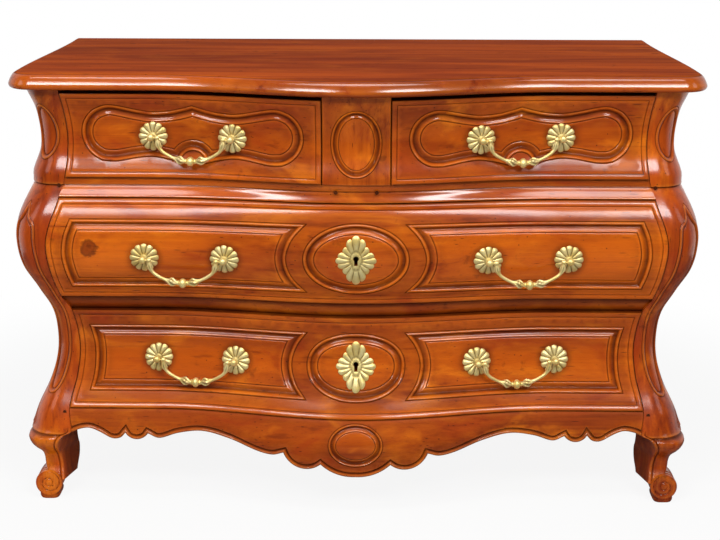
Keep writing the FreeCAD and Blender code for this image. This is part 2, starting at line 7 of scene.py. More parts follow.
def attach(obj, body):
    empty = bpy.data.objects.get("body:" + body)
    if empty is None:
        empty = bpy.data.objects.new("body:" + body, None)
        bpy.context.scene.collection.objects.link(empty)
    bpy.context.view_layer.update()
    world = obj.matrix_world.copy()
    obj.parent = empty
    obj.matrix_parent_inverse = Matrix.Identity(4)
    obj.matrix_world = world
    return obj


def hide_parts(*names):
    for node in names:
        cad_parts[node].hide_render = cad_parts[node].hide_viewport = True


# Bombe chest of drawers. Lengths in this script are millimetres, and meshes are written in metres.
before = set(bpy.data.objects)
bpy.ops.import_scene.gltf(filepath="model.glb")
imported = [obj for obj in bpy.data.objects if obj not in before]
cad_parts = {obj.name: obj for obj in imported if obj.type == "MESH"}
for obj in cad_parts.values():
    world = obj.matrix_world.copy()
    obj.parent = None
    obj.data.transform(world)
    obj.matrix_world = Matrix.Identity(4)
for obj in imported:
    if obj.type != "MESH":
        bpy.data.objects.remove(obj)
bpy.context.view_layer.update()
metre = 0.001

view = {
    "place": (31.0, -3290.0, 1270.0),
    "pitch": 14.66,             # degrees below the level
    "yaw": 0.76,
    "roll": -0.12,
    "focal": 1670.0,            # in pixels of a frame this wide
    "frameWidth": 720,
    "sensor": 36.0,
    "shift": 0.011,
    "clip": (0.05, 60.0),       # metres
}


def makeCamera():
    data = bpy.data.cameras.new("camera")
    data.sensor_width = view["sensor"]
    data.lens = view["focal"] / view["frameWidth"] * view["sensor"]
    data.shift_x = view["shift"]
    data.clip_start, data.clip_end = view["clip"]
    camera = bpy.data.objects.new("camera", data)
    camera.location = Vector(view["place"]) * metre
    camera.rotation_euler = [math.radians(turn) for turn in (90 - view["pitch"], view["roll"], view["yaw"])]
    bpy.context.scene.collection.objects.link(camera)
    bpy.context.scene.camera = camera


# name: place, aimed at, width, height, watts
lamps = {
    "leftBox": ((-1210, -2650, 2370), (-260, -250, 560), 1260, 600, 44),
    "rightBox": ((1230, -2650, 2370), (260, -250, 560), 1280, 600, 45),
    "overhead": ((0, -1300, 2900), (0, -150, 700), 2400, 560, 32),
    "leftWindow": ((-2900, -1500, 1900), (-500, -200, 480), 900, 1300, 7),
    "rightWindow": ((2900, -1500, 1900), (500, -200, 480), 900, 1300, 7),
}


def makeLamps():
    for name, (place, target, width, height, watts) in lamps.items():
        data = bpy.data.lights.new(name, "AREA")
        data.shape = "ELLIPSE"
        data.size, data.size_y, data.energy = width * metre, height * metre, watts
        lamp = bpy.data.objects.new(name, data)
        lamp.location = Vector(place) * metre
        lamp.rotation_euler = (Vector(target) - Vector(place)).to_track_quat("-Z", "Y").to_euler()
        lamp.visible_camera = False
        bpy.context.scene.collection.objects.link(lamp)


def paint(red, green, blue):
    # display colour, 0 to 255, as the linear values that a socket takes
    shares = [c / 255 for c in (red, green, blue)]
    return (*[c / 12.92 if c <= 0.04 else ((c + 0.055) / 1.055) ** 2.4 for c in shares], 1.0)


class Signal:
    # a number that varies over a surface: + - and * add Math nodes
    def __init__(self, finish, socket):
        self.finish, self.socket = finish, socket

    def math(self, operation, *values, clamp=False):
        settings = {"operation": operation, "use_clamp": clamp}
        return self.finish.signal("Math", settings, dict(enumerate(values)))

    def __add__(self, other):
        return self.math("ADD", self, other)

    def __sub__(self, other):
        return self.math("SUBTRACT", self, other)

    def __rsub__(self, other):
        return self.math("SUBTRACT", other, self)

    def __mul__(self, other):
        return self.math("MULTIPLY", self, other)

    __radd__, __rmul__ = __add__, __mul__

    def clamped(self):
        return self.math("ADD", self, 0.0, clamp=True)

    def between(self, low, high):
        # 0 below low, 1 above high, smooth in between; low may be the larger
        settings = {"interpolation_type": "SMOOTHSTEP"}
        values = {"Value": self, "From Min": low, "From Max": high, "To Min": 0.0, "To Max": 1.0}
        if low > high:
            values.update({"From Min": high, "From Max": low, "To Min": 1.0, "To Max": 0.0})
        return self.finish.signal("MapRange", settings, values)


class Nodes:
    # a node tree that is made from nothing
    def __init__(self, owner):
        owner.use_nodes = True
        self.tree = owner.node_tree
        self.tree.nodes.clear()

    def node(self, kind, settings, sockets):
        made = self.tree.nodes.new("ShaderNode" + kind)
        for key, value in settings.items():
            setattr(made, key, value)
        self.fill(made, sockets)
        return made

    def fill(self, made, sockets):
        # a socket goes by its place among the shown ones or by its name, with _ for a space
        shown = [s for s in made.inputs if s.enabled]
        byName = {s.name: s for s in reversed(shown)}
        for key, value in sockets.items():
            target = shown[key] if isinstance(key, int) else byName[key.replace("_", " ")]
            if isinstance(value, Signal):
                self.tree.links.new(value.socket, target)
            else:
                target.default_value = value

    def signal(self, kind, settings, sockets, output=None):
        made = self.node(kind, settings, sockets)
        return Signal(self, made.outputs[output] if output else next(s for s in made.outputs if s.enabled))

    def seen(self, mirrored=1.0):
        # 1 where the camera or glass looks, mirrored for a reflection, 0 for light that falls on things
        camera, glass, gloss = [self.signal("LightPath", {}, {}, f"Is {kind} Ray") for kind in
                                ("Camera", "Transmission", "Glossy")]
        return camera + glass + gloss * mirrored


class Finish(Nodes):
    # one material: shader nodes, coordinates and masks
    def __init__(self, name, **constants):
        self.material = bpy.data.materials.new(name)
        super().__init__(self.material)
        self.place = self.signal("TexCoord", {}, {}, "Object")
        self.shader = self.node("BsdfPrincipled", {}, constants)
        self.output = self.node("OutputMaterial", {}, {"Surface": Signal(self, self.shader.outputs[0])})

    def stretched(self, scale, offset=(0, 0, 0)):
        # coordinates in metres times scale, which is one number or one for each axis
        scale = scale if isinstance(scale, tuple) else (scale,) * 3
        return self.signal("Mapping", {}, {"Vector": self.place, "Scale": scale, "Location": offset})

    def noise(self, scale, detail=3.0, roughness=0.5, offset=(0, 0, 0), distortion=0.0):
        sockets = {"Vector": self.stretched(scale, offset), "Scale": 1.0, "Detail": detail,
                   "Roughness": roughness, "Distortion": distortion}
        return self.signal("TexNoise", {}, sockets)

    def scattered(self, scale, radius, share, offset):
        # small round marks in a share of the cells; they fade over the outer half of their radius
        cells = self.node("TexVoronoi", {}, {"Vector": self.stretched(scale, offset), "Scale": 1.0})
        near = Signal(self, cells.outputs["Distance"]).between(radius, radius * 0.45)
        chance = self.signal("SeparateColor", {}, {"Color": Signal(self, cells.outputs["Color"])})
        return near * chance.math("LESS_THAN", chance, share)

    def attribute(self, name):
        return self.signal("Attribute", {"attribute_name": name}, {}, "Fac")

    def length(self, vector):
        return self.signal("VectorMath", {"operation": "LENGTH"}, {0: vector}, "Value")

    def blend(self, first, second, share):
        settings = {"data_type": "RGBA", "blend_type": "MIX"}
        return self.signal("Mix", settings, {"Factor": share, "A": first, "B": second})

    def use(self, **sockets):
        self.fill(self.shader, sockets)

    def relief(self, height, distance):
        values = {"Height": height, "Distance": distance * metre, "Strength": 1.0}
        self.use(Normal=self.signal("Bump", {}, values))


polish = {
    "light": paint(206, 102, 12),
    "middle": paint(182, 80, 6),
    "deep": paint(140, 54, 5),
    "heart": paint(104, 32, 4),        # darkest streaks
    "darkening": paint(40, 12, 3),          # dark brown: wax and dust in quirks, dark marks and knots, and painted shade in quirks, gaps and recesses
    "wornAndHighlight": paint(222, 132, 40),       # lighter arrises: rubbed wear and a painted highlight
    "honey": paint(214, 112, 14),      # clouds in the polish
    "russet": paint(150, 48, 6),
    "roughness": 0.38,
    "rougher": {"soilAndShade": 0.35, "dull": 0.2, "flecks": 0.10, "pale": 0.05},
    "sheen": 0.08,                     # specular level under the wax
    "coat": 0.66,
    "coatRoughness": 0.15,
    "dullCoat": (0.035, 1.2),          # coat of a top that has gone dull, and the height over which it fades
    "indexOfRefraction": 1.5,
}
timber = {
    # scale along and across the grain, detail, roughness, offset, distortion
    "noises": {
        "sway": ((0.9, 3.5), 2.0, 0.5, (0, 0, 0), 0.4),
        "broad": ((1.6, 11.0), 4.0, 0.55, (3.1, 0.7, 5.3), 0.6),
        "streak": ((2.2, 75.0), 4.0, 0.6, (7.7, 2.2, 1.4), 0.25),
        "fibre": ((18.0, 620.0), 2.0, 0.5, (0.4, 8.8, 2.6)),
        "pores": ((75.0, 1250.0), 1.0, 0.4, (5.0, 1.9, 9.4)),
        "flecks": ((210.0, 210.0), 2.0, 0.6, (2.5, 4.4, 6.1)),
        "bruise": ((26.0, 26.0), 4.0, 0.65, (9.9, 3.3, 0.5)),
        "clouds": ((7.0, 15.0), 3.0, 0.55, (6.2, 4.1, 8.8), 0.8),
        "planed": ((15.0, 15.0), 2.0, 0.5, (8.1, 0.3, 2.7)),
    },
    # scale along and across the grain, radius, share of the cells, offset
    "specks": ((62.0, 62.0), 0.10, 0.42, (1.3, 0.2, 4.4)),
    "checks": ((13.0, 190.0), 0.15, 0.5, (0.6, 3.1, 2.2)),
    # the noise value where a pattern begins to show and where it shows in full
    "middle": (0.30, 0.66), "light": (-0.06, 0.26), "honey": (0.52, 0.74), "russet": (0.47, 0.27),
    "heart": (0.45, 0.27), "fibre": (0.46, 0.28), "pore": (0.33, 0.24), "porous": (0.35, 0.6),
    "dent": (0.27, 0.20), "smudge": (0.38, 0.27), "rubbedAndHighlit": (0.30, 0.52),
    "strength": {"streak": 0.55, "sway": 0.45, "light": 0.85, "heart": 0.6, "fibre": 0.30, "pore": 0.6,
                 "dent": 0.55, "smudge": 0.4, "rubbedAndHighlit": 0.45},
    "soilAndShade": (0.42, 0.65),              # least darkening where grime and painted shade are set, and how much the bruises add
    "height": {"streak": 0.4, "fibre": 0.28, "pore": 0.6, "dent": 1.1, "bruise": 0.9, "smudge": 0.5,
               "planed": 3.2},
    "relief": 0.26,
}
knotForm = {
    "centre": (-503.0, -240.0, 518.0),
    "scale": (56.0, 12.0, 62.0),
    "ripple": (34.0, 4.0, 0.65, (1.0, 1.0, 1.0)),
    "unevenness": 2.2,
    # distances from the middle, in units of the scale, and strengths
    "whole": (1.15, 0.55, 0.7), "rimInner": (0.55, 0.8), "rimOuter": (1.15, 0.9), "rim": 0.45,
    "eye": (0.4, 0.15, 0.35),
}


def addKnot(wood, mixed):
    centre = tuple(-c * metre * s for c, s in zip(knotForm["centre"], knotForm["scale"]))
    swirl = wood.length(wood.stretched(knotForm["scale"], centre))
    far = swirl + (wood.noise(*knotForm["ripple"]) - 0.5) * knotForm["unevenness"]
    start, full, strength = knotForm["whole"]
    mixed = wood.blend(mixed, polish["heart"], far.between(start, full) * strength)
    rim = far.between(*knotForm["rimInner"]) * far.between(*knotForm["rimOuter"])
    start, full, strength = knotForm["eye"]
    darkening = rim * knotForm["rim"] + far.between(start, full) * strength
    return wood.blend(mixed, polish["darkening"], darkening.clamped())


def makeWood(name, along, tones, knotty=False, coat=polish["coat"], sheen=polish["sheen"], tone=0.5,
             dullTop=None, cloudy=0.7, marked=0.85):
    # along: the direction in which the grain runs; dullTop: height above which the wax has gone dull
    glass = polish["indexOfRefraction"]
    wood = Finish(name, Coat_Roughness=polish["coatRoughness"], IOR=glass, Coat_IOR=glass,
                  Specular_IOR_Level=sheen)
    grown = lambda scales: tuple(scales[0] if a else scales[1] for a in along)
    sway, broad, streak, fibre, pores, flecks, bruise, clouds, planed = [
        wood.noise(grown(scales), *rest) for scales, *rest in timber["noises"].values()]
    # wearAndHighlight lightens arrises and beads with rubbed wear and a painted highlight; below 0 it dulls
    # the wax
    grimeAndShade, wearAndHighlight = wood.attribute("grimeAndShade"), wood.attribute("wearAndHighlight")       # wear is below 0 on dull wax
    specks, checks = [wood.scattered(grown(scales), *rest) for scales, *rest in
                      (timber["specks"], timber["checks"])]
    light, middle, deep = tones
    strength = timber["strength"]
    mixed = wood.blend(deep, middle, broad.between(*timber["middle"]))
    figure = streak * strength["streak"] + sway * strength["sway"]
    start, full = [tone + shift for shift in timber["light"]]
    mixed = wood.blend(mixed, light, figure.between(start, full) * strength["light"])
    porous = pores.between(*timber["pore"]) * bruise.between(*timber["porous"])
    dent, smudge = flecks.between(*timber["dent"]), bruise.between(*timber["smudge"])
    for colour, share in ((polish["honey"], clouds.between(*timber["honey"]) * cloudy),
                          (polish["russet"], clouds.between(*timber["russet"]) * cloudy),
                          (polish["heart"], streak.between(*timber["heart"]) * strength["heart"]),
                          (deep, fibre.between(*timber["fibre"]) * strength["fibre"]),
                          (polish["heart"], porous * strength["pore"]),
                          (polish["darkening"], (dent * strength["dent"] + smudge * strength["smudge"]).clamped()),
                          (polish["darkening"], (specks + checks).clamped() * marked)):
        mixed = wood.blend(mixed, colour, share)
    if knotty:
        mixed = addKnot(wood, mixed)
    # painted highlight and rubbed wear: lighter arrises where wearAndHighlight is above 0
    wornAndHighlight = (wearAndHighlight * bruise.between(*timber["rubbedAndHighlit"])).clamped()
    mixed = wood.blend(mixed, polish["wornAndHighlight"], wornAndHighlight * strength["rubbedAndHighlit"])
    # darker and rougher, with less coat, where grime and painted shade are set
    least, more = timber["soilAndShade"]
    soilAndShade = (grimeAndShade * (least + bruise * more)).clamped()
    wood.use(Base_Color=wood.blend(mixed, polish["darkening"], soilAndShade))
    dull = (wearAndHighlight * -1.0).clamped()
    if dullTop:
        left, fade = polish["dullCoat"]
        height = wood.signal("SeparateXYZ", {}, {0: wood.place}, "Z")
        coat = height.between(dullTop * metre, (dullTop - fade) * metre) * coat + left
    rougher = polish["rougher"]
    rough = (polish["roughness"] + soilAndShade * rougher["soilAndShade"] + dull * rougher["dull"]
             + (flecks - 0.5) * rougher["flecks"] + (1 - broad) * rougher["pale"])
    wood.use(Roughness=rough.clamped(), Coat_Weight=((1 - soilAndShade) * (1 - dull) * coat).clamped())
    height = timber["height"]
    wood.relief(streak * height["streak"] + fibre * height["fibre"] - porous * height["pore"]
                - dent * height["dent"] + bruise * height["bruise"] - smudge * height["smudge"]
                + planed * height["planed"], timber["relief"])
    return wood.material


castBrass = {
    "bright": paint(250, 238, 190),
    "light": paint(250, 230, 156),
    "middle": paint(234, 206, 122),
    "tarnish": paint(186, 152, 82),
    "darkening": paint(96, 66, 26),
    "metallic": 0.62,
    "tint": (38.0, 4.0, 0.6),          # noises: scale, detail, roughness, offset
    "spots": (260.0, 3.0, 0.6, (3.0, 1.0, 2.0)),
    "tarnished": 0.4, "rubbedAndHighlit": 0.7,
    "roughness": (0.34, 0.12, 0.35),   # clean, and what spots and dirt add
    "relief": 0.12,
}


def makeBrass():
    brass = Finish("agedBrass", Metallic=castBrass["metallic"])
    tint, spots = brass.noise(*castBrass["tint"]), brass.noise(*castBrass["spots"])
    grimeAndShade, wearAndHighlight = brass.attribute("grimeAndShade"), brass.attribute("wearAndHighlight")
    mixed = brass.blend(castBrass["middle"], castBrass["light"], tint.between(0.35, 0.65))
    mixed = brass.blend(mixed, castBrass["tarnish"], spots.between(0.42, 0.25) * castBrass["tarnished"])
    bright = (wearAndHighlight * tint.between(0.3, 0.5)).clamped() * castBrass["rubbedAndHighlit"]
    mixed = brass.blend(mixed, castBrass["bright"], bright)
    dark = (grimeAndShade * (0.6 + spots * 0.7)).clamped()
    mixed = brass.blend(mixed, castBrass["darkening"], dark)
    clean, spotted, dirty = castBrass["roughness"]
    brass.use(Base_Color=mixed, Roughness=(clean + spots * spotted + dark * dirty).clamped())
    brass.relief(spots * 0.5 + tint * 0.5, castBrass["relief"])
    return brass.material


lockIron = {
    "bare": paint(78, 70, 62),
    "rust": paint(112, 68, 40),
    "metallic": 0.85,
    "rusting": (45.0, 5.0, 0.65),      # noises: scale, detail, roughness, offset
    "pits": (420.0, 2.0, 0.5, (2.0, 6.0, 1.0)),
    "roughness": (0.42, 0.35),         # clean, and what rust adds
    "relief": 0.2,
}


def makeIron():
    iron = Finish("lockIron", Metallic=lockIron["metallic"])
    rust, pits = iron.noise(*lockIron["rusting"]), iron.noise(*lockIron["pits"])
    mixed = iron.blend(lockIron["bare"], lockIron["rust"], rust.between(0.45, 0.68))
    clean, rusty = lockIron["roughness"]
    iron.use(Base_Color=mixed, Roughness=(clean + rust * rusty).clamped())
    iron.relief(rust + pits * 0.4, lockIron["relief"])
    return iron.material


white = (1, 1, 1, 1)
room = {
    "floor": (paint(208, 208, 206), paint(216, 216, 214)),
    "floorRadius": 1.7,                # metres
    "floorSides": 96,
    "fade": (0.85, 1.6),               # metres from the middle, where the floor turns plain white
    "nearWhite": 0.90,
    "mirrored": 0.1,                   # polished wood mirrors a darker floor than the camera sees
    "skyLight": 0.28,
    "horizon": (-0.25, 0.35),
    "dimmer": 0.32,                    # how much darker the room in front of the chest is mirrored
}


def makeFloor():
    # the shadow is kept, and what the camera sees further off is plain white
    pale = Finish("paleFloor", Roughness=0.9, Specular_IOR_Level=0.0)
    dust = pale.noise(1.4, 3.0, 0.5)
    pale.use(Base_Color=pale.blend(*room["floor"], dust))
    away = pale.length(pale.place).between(*room["fade"])
    glow = pale.signal("Emission", {}, {"Color": white, "Strength": pale.seen(room["mirrored"])})
    near = room["nearWhite"]
    share = (pale.seen() * (near + away * (1 - near))).clamped()
    both = pale.signal("MixShader", {}, {0: share, 1: Signal(pale, pale.shader.outputs[0]), 2: glow})
    pale.fill(pale.output, {"Surface": both})
    mesh = bpy.data.meshes.new("floor")
    sides, radius = room["floorSides"], room["floorRadius"]
    turns = [2 * math.pi * k / sides for k in range(sides)]
    rim = [(radius * math.cos(t), radius * math.sin(t), 0) for t in turns]
    mesh.from_pydata(rim, [], [tuple(range(sides))])
    mesh.materials.append(pale.material)
    floor = bpy.data.objects.new("floor", mesh)
    bpy.context.scene.collection.objects.link(floor)


def makeWorld():
    # a dim even grey as light; seen directly or in gloss, a white backdrop behind the chest and a
    # dim room in front of it
    world = bpy.data.worlds.new("studio")
    sky = Nodes(world)
    towards = sky.signal("SeparateXYZ", {}, {0: sky.signal("TexCoord", {}, {}, "Generated")}, "Y")
    backdrop = towards.between(*room["horizon"]) * (1 + room["dimmer"]) - room["dimmer"]
    strength = room["skyLight"] + sky.seen(backdrop) * (1 - room["skyLight"])
    light = sky.signal("Background", {}, {"Color": white, "Strength": strength})
    sky.node("OutputWorld", {}, {"Surface": light})
    bpy.context.scene.world = world


bpy.context.scene.view_settings.view_transform = "Standard"
makeCamera()
makeLamps()
makeWorld()
makeFloor()
print("camera, lamps, world and floor made")

lengthwise, deepwise, upright = (1, 0, 0), (0, 1, 0), (0, 0, 1)
polished = (polish["light"], polish["middle"], polish["deep"])
bare = (paint(206, 160, 104), paint(182, 130, 78), paint(150, 98, 52))
unpolished = {"coat": 0.0, "cloudy": 0.0, "marked": 0.2}
wood = {
    "across": makeWood("polishedWoodAcross", lengthwise, polished),
    "knotty": makeWood("polishedWoodKnotty", lengthwise,
                       (paint(219, 114, 14), paint(198, 91, 8), paint(158, 64, 6)), knotty=True),
    "upright": makeWood("polishedWoodUpright", upright,
                        (paint(202, 90, 9), paint(172, 68, 7), paint(130, 45, 5))),
    "apron": makeWood("polishedWoodApron", lengthwise,
                      (paint(188, 88, 11), paint(162, 67, 6), paint(120, 43, 5))),
    "stile": makeWood("polishedWoodStile", upright, polished),
    "deepwise": makeWood("polishedWoodDeepwise", deepwise, polished),
    "waist": makeWood("polishedWoodWaist", lengthwise, polished, coat=1.0),
    "rear": makeWood("shadedWoodRear", upright, (paint(120, 54, 10), paint(96, 40, 8), paint(70, 24, 6)),
                     coat=0.3, cloudy=0.2),
    "peg": makeWood("endGrainPeg", deepwise, (paint(92, 42, 14), paint(70, 30, 10), paint(50, 20, 8)),
                    coat=0.2, cloudy=0.0),
    "side": makeWood("polishedWoodSide", upright, (paint(186, 80, 8), paint(154, 58, 6), paint(112, 36, 4)),
                     cloudy=0.2),
    "top": makeWood("topWood", lengthwise, (paint(186, 84, 18), paint(164, 68, 14), paint(118, 40, 9)),
                    coat=0.95, sheen=0.0, tone=0.53, dullTop=839.2, cloudy=0.12),
    "inside": makeWood("insideWood", lengthwise, bare, **unpolished),
    "insideDeep": makeWood("insideWoodDeep", deepwise, bare, **unpolished),
    "insideUpright": makeWood("insideWoodUpright", upright, bare, **unpolished),
}
metal = {"brass": makeBrass(), "iron": makeIron()}
print("materials made")

# the chest's form: the same stations as the solids have

form = {
    "height": 840.0,
    "topHalfWidth": 650.0,
    "topThickness": 29.0,
    "topFront": 325.0,
    "topBow": 79.0,
    "topCornerRadius": 50.0,
    "topBack": 325.0,
    "sideTaper": 28.0,
    "frontInset": 400.0,
    "bowHalfLength": 385.0,
    "side": [(0, 629), (33, 629), (50, 622), (69, 613), (84, 614), (94, 619), (107, 633), (124, 643),
             (142, 639), (180, 626), (230, 602.5), (280, 588.5), (325, 586), (370, 592), (420, 614),
             (470, 639), (523, 648), (565, 644), (605, 628), (628, 618), (650, 617), (690, 603), (725, 601),
             (770, 609), (800, 621), (811, 625)],
    "bow": [(0, 62), (100, 62), (200, 61), (330, 54), (380, 49), (420, 41), (500, 38), (560, 39),
            (605, 46), (645, 64), (720, 70), (811, 80)],
    "opening": [(0, 557), (40, 557), (69, 553), (107, 551), (142, 552), (190, 557.5), (250, 543.5),
                (310, 538.5), (379, 550.5), (410, 567.5), (470, 581), (530, 584.5), (606, 560.5),
                (643, 549), (725, 543.5), (811, 554)],
    "legSlant": [(0, 10), (33, 13), (69, 22), (105, 29), (122, 27), (134, 18), (142, 0)],
    "postDepth": [(0, 62), (31, 62), (80, 56), (130, 62), (190, 66), (811, 66)],
    "cornerShare": [(0, 0.1), (60, 0.14), (100, 0.5), (150, 0.8), (811, 0.82)],
    "kneeLevel": 142.0,         # the apron hangs straight below it
    "drawerProud": 5.0,
    "edgeGap": 1.5,
    "skin": 24.0,
}
mirror = (-1, 1)                # turns an (x, z) point of the front over to its other half


class Curve:
    # smooth line through stations; a value may be a number or a point
    def __init__(self, stations):
        self.t = np.array([s[0] for s in stations], float)
        values = np.array([s[1] for s in stations], float)
        self.flat = values.ndim == 1
        self.v = values[:, None] if self.flat else values
        ends = np.concatenate([self.t[:1], self.t, self.t[-1:]])
        beyond = np.concatenate([self.v[:1], self.v, self.v[-1:]])
        self.slope = (beyond[2:] - beyond[:-2]) / (ends[2:] - ends[:-2])[:, None]

    def __call__(self, t):
        t = np.clip(np.asarray(t, float), self.t[0], self.t[-1])
        k = np.clip(np.searchsorted(self.t, t, "right") - 1, 0, len(self.t) - 2)
        span = self.t[k + 1] - self.t[k]
        u = ((t - self.t[k]) / span)[..., None]
        h = span[..., None]
        found = (self.v[k] * (1 + 2 * u) * (1 - u) ** 2 + self.v[k + 1] * u * u * (3 - 2 * u)
                 + h * (self.slope[k] * u * (1 - u) ** 2 - self.slope[k + 1] * u * u * (1 - u)))
        return found[..., 0] if self.flat else found


halfWidth, bowAt, openingAt, legSlant, postDepth, cornerShare = [
    Curve(form[key]) for key in ("side", "bow", "opening", "legSlant", "postDepth", "cornerShare")]


def bowShare(x):
    inside = np.abs(x) < form["bowHalfLength"]
    return np.where(inside, np.cos(np.pi * np.asarray(x) / (2 * form["bowHalfLength"])) ** 2, 0.0)


def frontAt(x, z):
    return form["frontInset"] - halfWidth(np.maximum(z, form["kneeLevel"])) - bowAt(z) * bowShare(x)


# outlines drawn on the front: lists of sides, anticlockwise, each from corner to corner

tiny = 1e-12                    # stands in for 0 where a division would fail
meshing = {
    "smoothJoint": 0.97,        # cosine above which two sides meet without a corner
    "rowPitch": 0.87,           # distance between rows of a fill's grid, as a share of its spacing
    "clearance": 0.5,           # gap between the grid and the edges, as a share of the spacing
    "soilAndShadeReach": 9.0,           # how far the grime and painted shade along an edge spreads
    "backSpacing": 30.0,
    # painted shade on the walls that run back into gaps and holes
    "wallGrimeAndShade": 0.35, "holeGrimeAndShade": 0.6,
}


def lengths(vectors):
    return np.linalg.norm(vectors, axis=1)


def units(vectors):
    return vectors / lengths(vectors)[:, None]


def travelled(line):
    return np.concatenate([[0], np.cumsum(lengths(np.diff(line, axis=0)))])


def evenly(line, count):
    along = travelled(line)
    wanted = np.linspace(0, along[-1], count)
    return np.stack([np.interp(wanted, along, line[:, k]) for k in (0, 1)], 1)


def drawn(points, step=4.0):
    # a straight or smooth side through the points, with evenly spaced ones
    line = np.array(points, float)
    chord = travelled(line)
    if len(points) > 2:
        line = Curve(list(zip(chord, line)))(np.linspace(0, chord[-1], 40 * len(points)))
    return evenly(line, max(int(round(chord[-1] / step)), 2) + 1)


def bent(centre, radius, start, end, step=3.0):
    # an arc from one angle to another, in degrees
    count = max(int(abs(math.radians(end - start)) * radius / step), 6) + 1
    angle = np.radians(np.linspace(start, end, count))
    return np.stack([centre[0] + radius * np.cos(angle), centre[1] + radius * np.sin(angle)], 1)


def oval(centre, width, high, square=1.0):
    # two smooth halves; square below 1 fills out the corners
    angle = np.radians(np.linspace(0, 360, 2 * int((width + high) / 5) + 1))
    line = np.stack([middle + size / 2 * np.sign(c) * np.abs(c) ** square for middle, size, c in
                     zip(centre, (width, high), (np.cos(angle), np.sin(angle)))], 1)
    half = len(line) // 2
    return [evenly(line[:half + 1], half + 1), evenly(line[half:], half + 1)]


def turned(side):
    # the same side on the other half, still anticlockwise
    return side[::-1] * mirror


def mirroredSides(sides):
    return [turned(side) for side in sides[::-1]]


def normalsOf(side, before=None, after=None):
    # unit normals to the left, which is inwards; a smooth joint takes its neighbour's direction too
    step = units(np.diff(side, axis=0))
    ahead = np.concatenate([step, step[-1:] if after is None else after[None]])
    behind = np.concatenate([step[:1] if before is None else before[None], step])
    middle = units(ahead + behind)
    return np.stack([-middle[:, 1], middle[:, 0]], 1)


def crossing(first, second):
    # where the end of one line meets the start of the next: (index on each, point), or None
    a, b = first[:-1], np.diff(first, axis=0)
    c, d = second[:-1], np.diff(second, axis=0)
    gap = c[None] - a[:, None]
    cross = b[:, None, 0] * d[None, :, 1] - b[:, None, 1] * d[None, :, 0]
    cross = np.where(np.abs(cross) < tiny, tiny, cross)
    t = (gap[..., 0] * d[None, :, 1] - gap[..., 1] * d[None, :, 0]) / cross
    u = (gap[..., 0] * b[:, None, 1] - gap[..., 1] * b[:, None, 0]) / cross
    i, k = np.nonzero((t >= 0) & (t <= 1) & (u >= 0) & (u <= 1))
    if not len(i):
        return None
    best = np.argmax((i + t[i, k]) - (k + u[i, k]))
    return i[best], k[best], a[i[best]] + b[i[best]] * t[i[best], k[best]]


def moved(sides, distance, weights=None):
    # the outline moved inwards by distance, its corners mitred or trimmed, with the same point counts
    if not distance:
        return np.concatenate([side[:-1] for side in sides])
    count = len(sides)
    ends = [units(side[[1, -1]] - side[[0, -2]]) for side in sides]
    smooth = [float(ends[k - 1][1] @ ends[k][0]) > meshing["smoothJoint"] for k in range(count)]
    shifted = []
    for k, side in enumerate(sides):
        after = (k + 1) % count
        normal = normalsOf(side, ends[k - 1][1] if smooth[k] else None,
                           ends[after][0] if smooth[after] else None)
        shifted.append(side + normal * distance * (weights[k] if weights else 1.0))
    reach = 4 * abs(distance)
    for k in range(count):
        if smooth[k]:
            continue
        before, here = shifted[k - 1], shifted[k]
        longBefore = np.concatenate([before, before[-1:] + ends[k - 1][1] * reach])
        longHere = np.concatenate([here[:1] - ends[k][0] * reach, here])
        met = crossing(longBefore, longHere)
        if met is None:
            corner = (before[-1] + here[0]) / 2
        else:
            before, here, corner = longBefore[:met[0] + 1], longHere[met[1] + 1:], met[2]
        shifted[k - 1] = np.concatenate([before, corner[None]])
        shifted[k] = np.concatenate([corner[None], here])
    return np.concatenate([evenly(line, len(side))[:-1] for line, side in zip(shifted, sides)])


def insideOf(points, ring, holes=()):
    # which points lie inside a closed ring and outside its holes
    x, z = points[:, 0, None], points[:, 1, None]
    a, b = ring, np.roll(ring, -1, axis=0)
    above = (a[None, :, 1] > z) != (b[None, :, 1] > z)
    rise = np.where(b[:, 1] == a[:, 1], tiny, b[:, 1] - a[:, 1])
    cut = a[None, :, 0] + (z - a[None, :, 1]) * (b[:, 0] - a[:, 0]) / rise
    found = (above & (x < cut)).sum(1) % 2 == 1
    for hole in holes:
        found &= ~insideOf(points, hole)
    return found


def nearest(points, others):
    # distance from each point to the nearest of the others
    found = np.full(len(points), np.inf)
    for start in range(0, len(others), 400):
        gaps = points[:, None] - others[None, start:start + 400]
        found = np.minimum(found, np.linalg.norm(gaps, axis=2).min(1))
    return found


def sweptFaces(sections, count, start=0, flip=False, around=False):
    # quads between closed rings of count points; around joins the last ring to the first
    faces = []
    for ring in range(sections if around else sections - 1):
        here, there = start + ring * count, start + (ring + 1) % sections * count
        for k in range(count):
            after = (k + 1) % count
            quad = (here + k, there + k, there + after, here + after)
            faces.append((quad[0], *quad[:0:-1]) if flip else quad)
    return faces


def tubeFaces(sections, count, start=0, flip=False):
    # the same with both ends closed; flip turns every face over
    last = start + (sections - 1) * count
    caps = [tuple(range(start, start + count)), tuple(range(last, last + count))]
    caps[0 if flip else 1] = caps[0 if flip else 1][::-1]
    return sweptFaces(sections, count, start, flip) + caps


def makePiece(name, points, faces, body, material, nodes, masks, sharp=34.0):
    mesh = bpy.data.meshes.new(name)
    mesh.from_pydata((np.asarray(points) * metre).tolist(), [], faces)
    # grimeAndShade darkens the wood with grime and with painted shade in quirks, gaps, recesses and
    # undersides
    for mask, values in zip(("grimeAndShade", "wearAndHighlight"), np.asarray(masks, np.float32).T):
        layer = mesh.attributes.new(mask, "FLOAT", "POINT")
        layer.data.foreach_set("value", np.ascontiguousarray(values))
    mesh.validate()
    mesh.update()
    mesh.shade_smooth()
    mesh.set_sharp_from_angle(angle=math.radians(sharp))
    mesh.materials.append(material)
    piece = bpy.data.objects.new(name, mesh)
    bpy.context.scene.collection.objects.link(piece)
    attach(piece, body)
    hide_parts(*nodes)


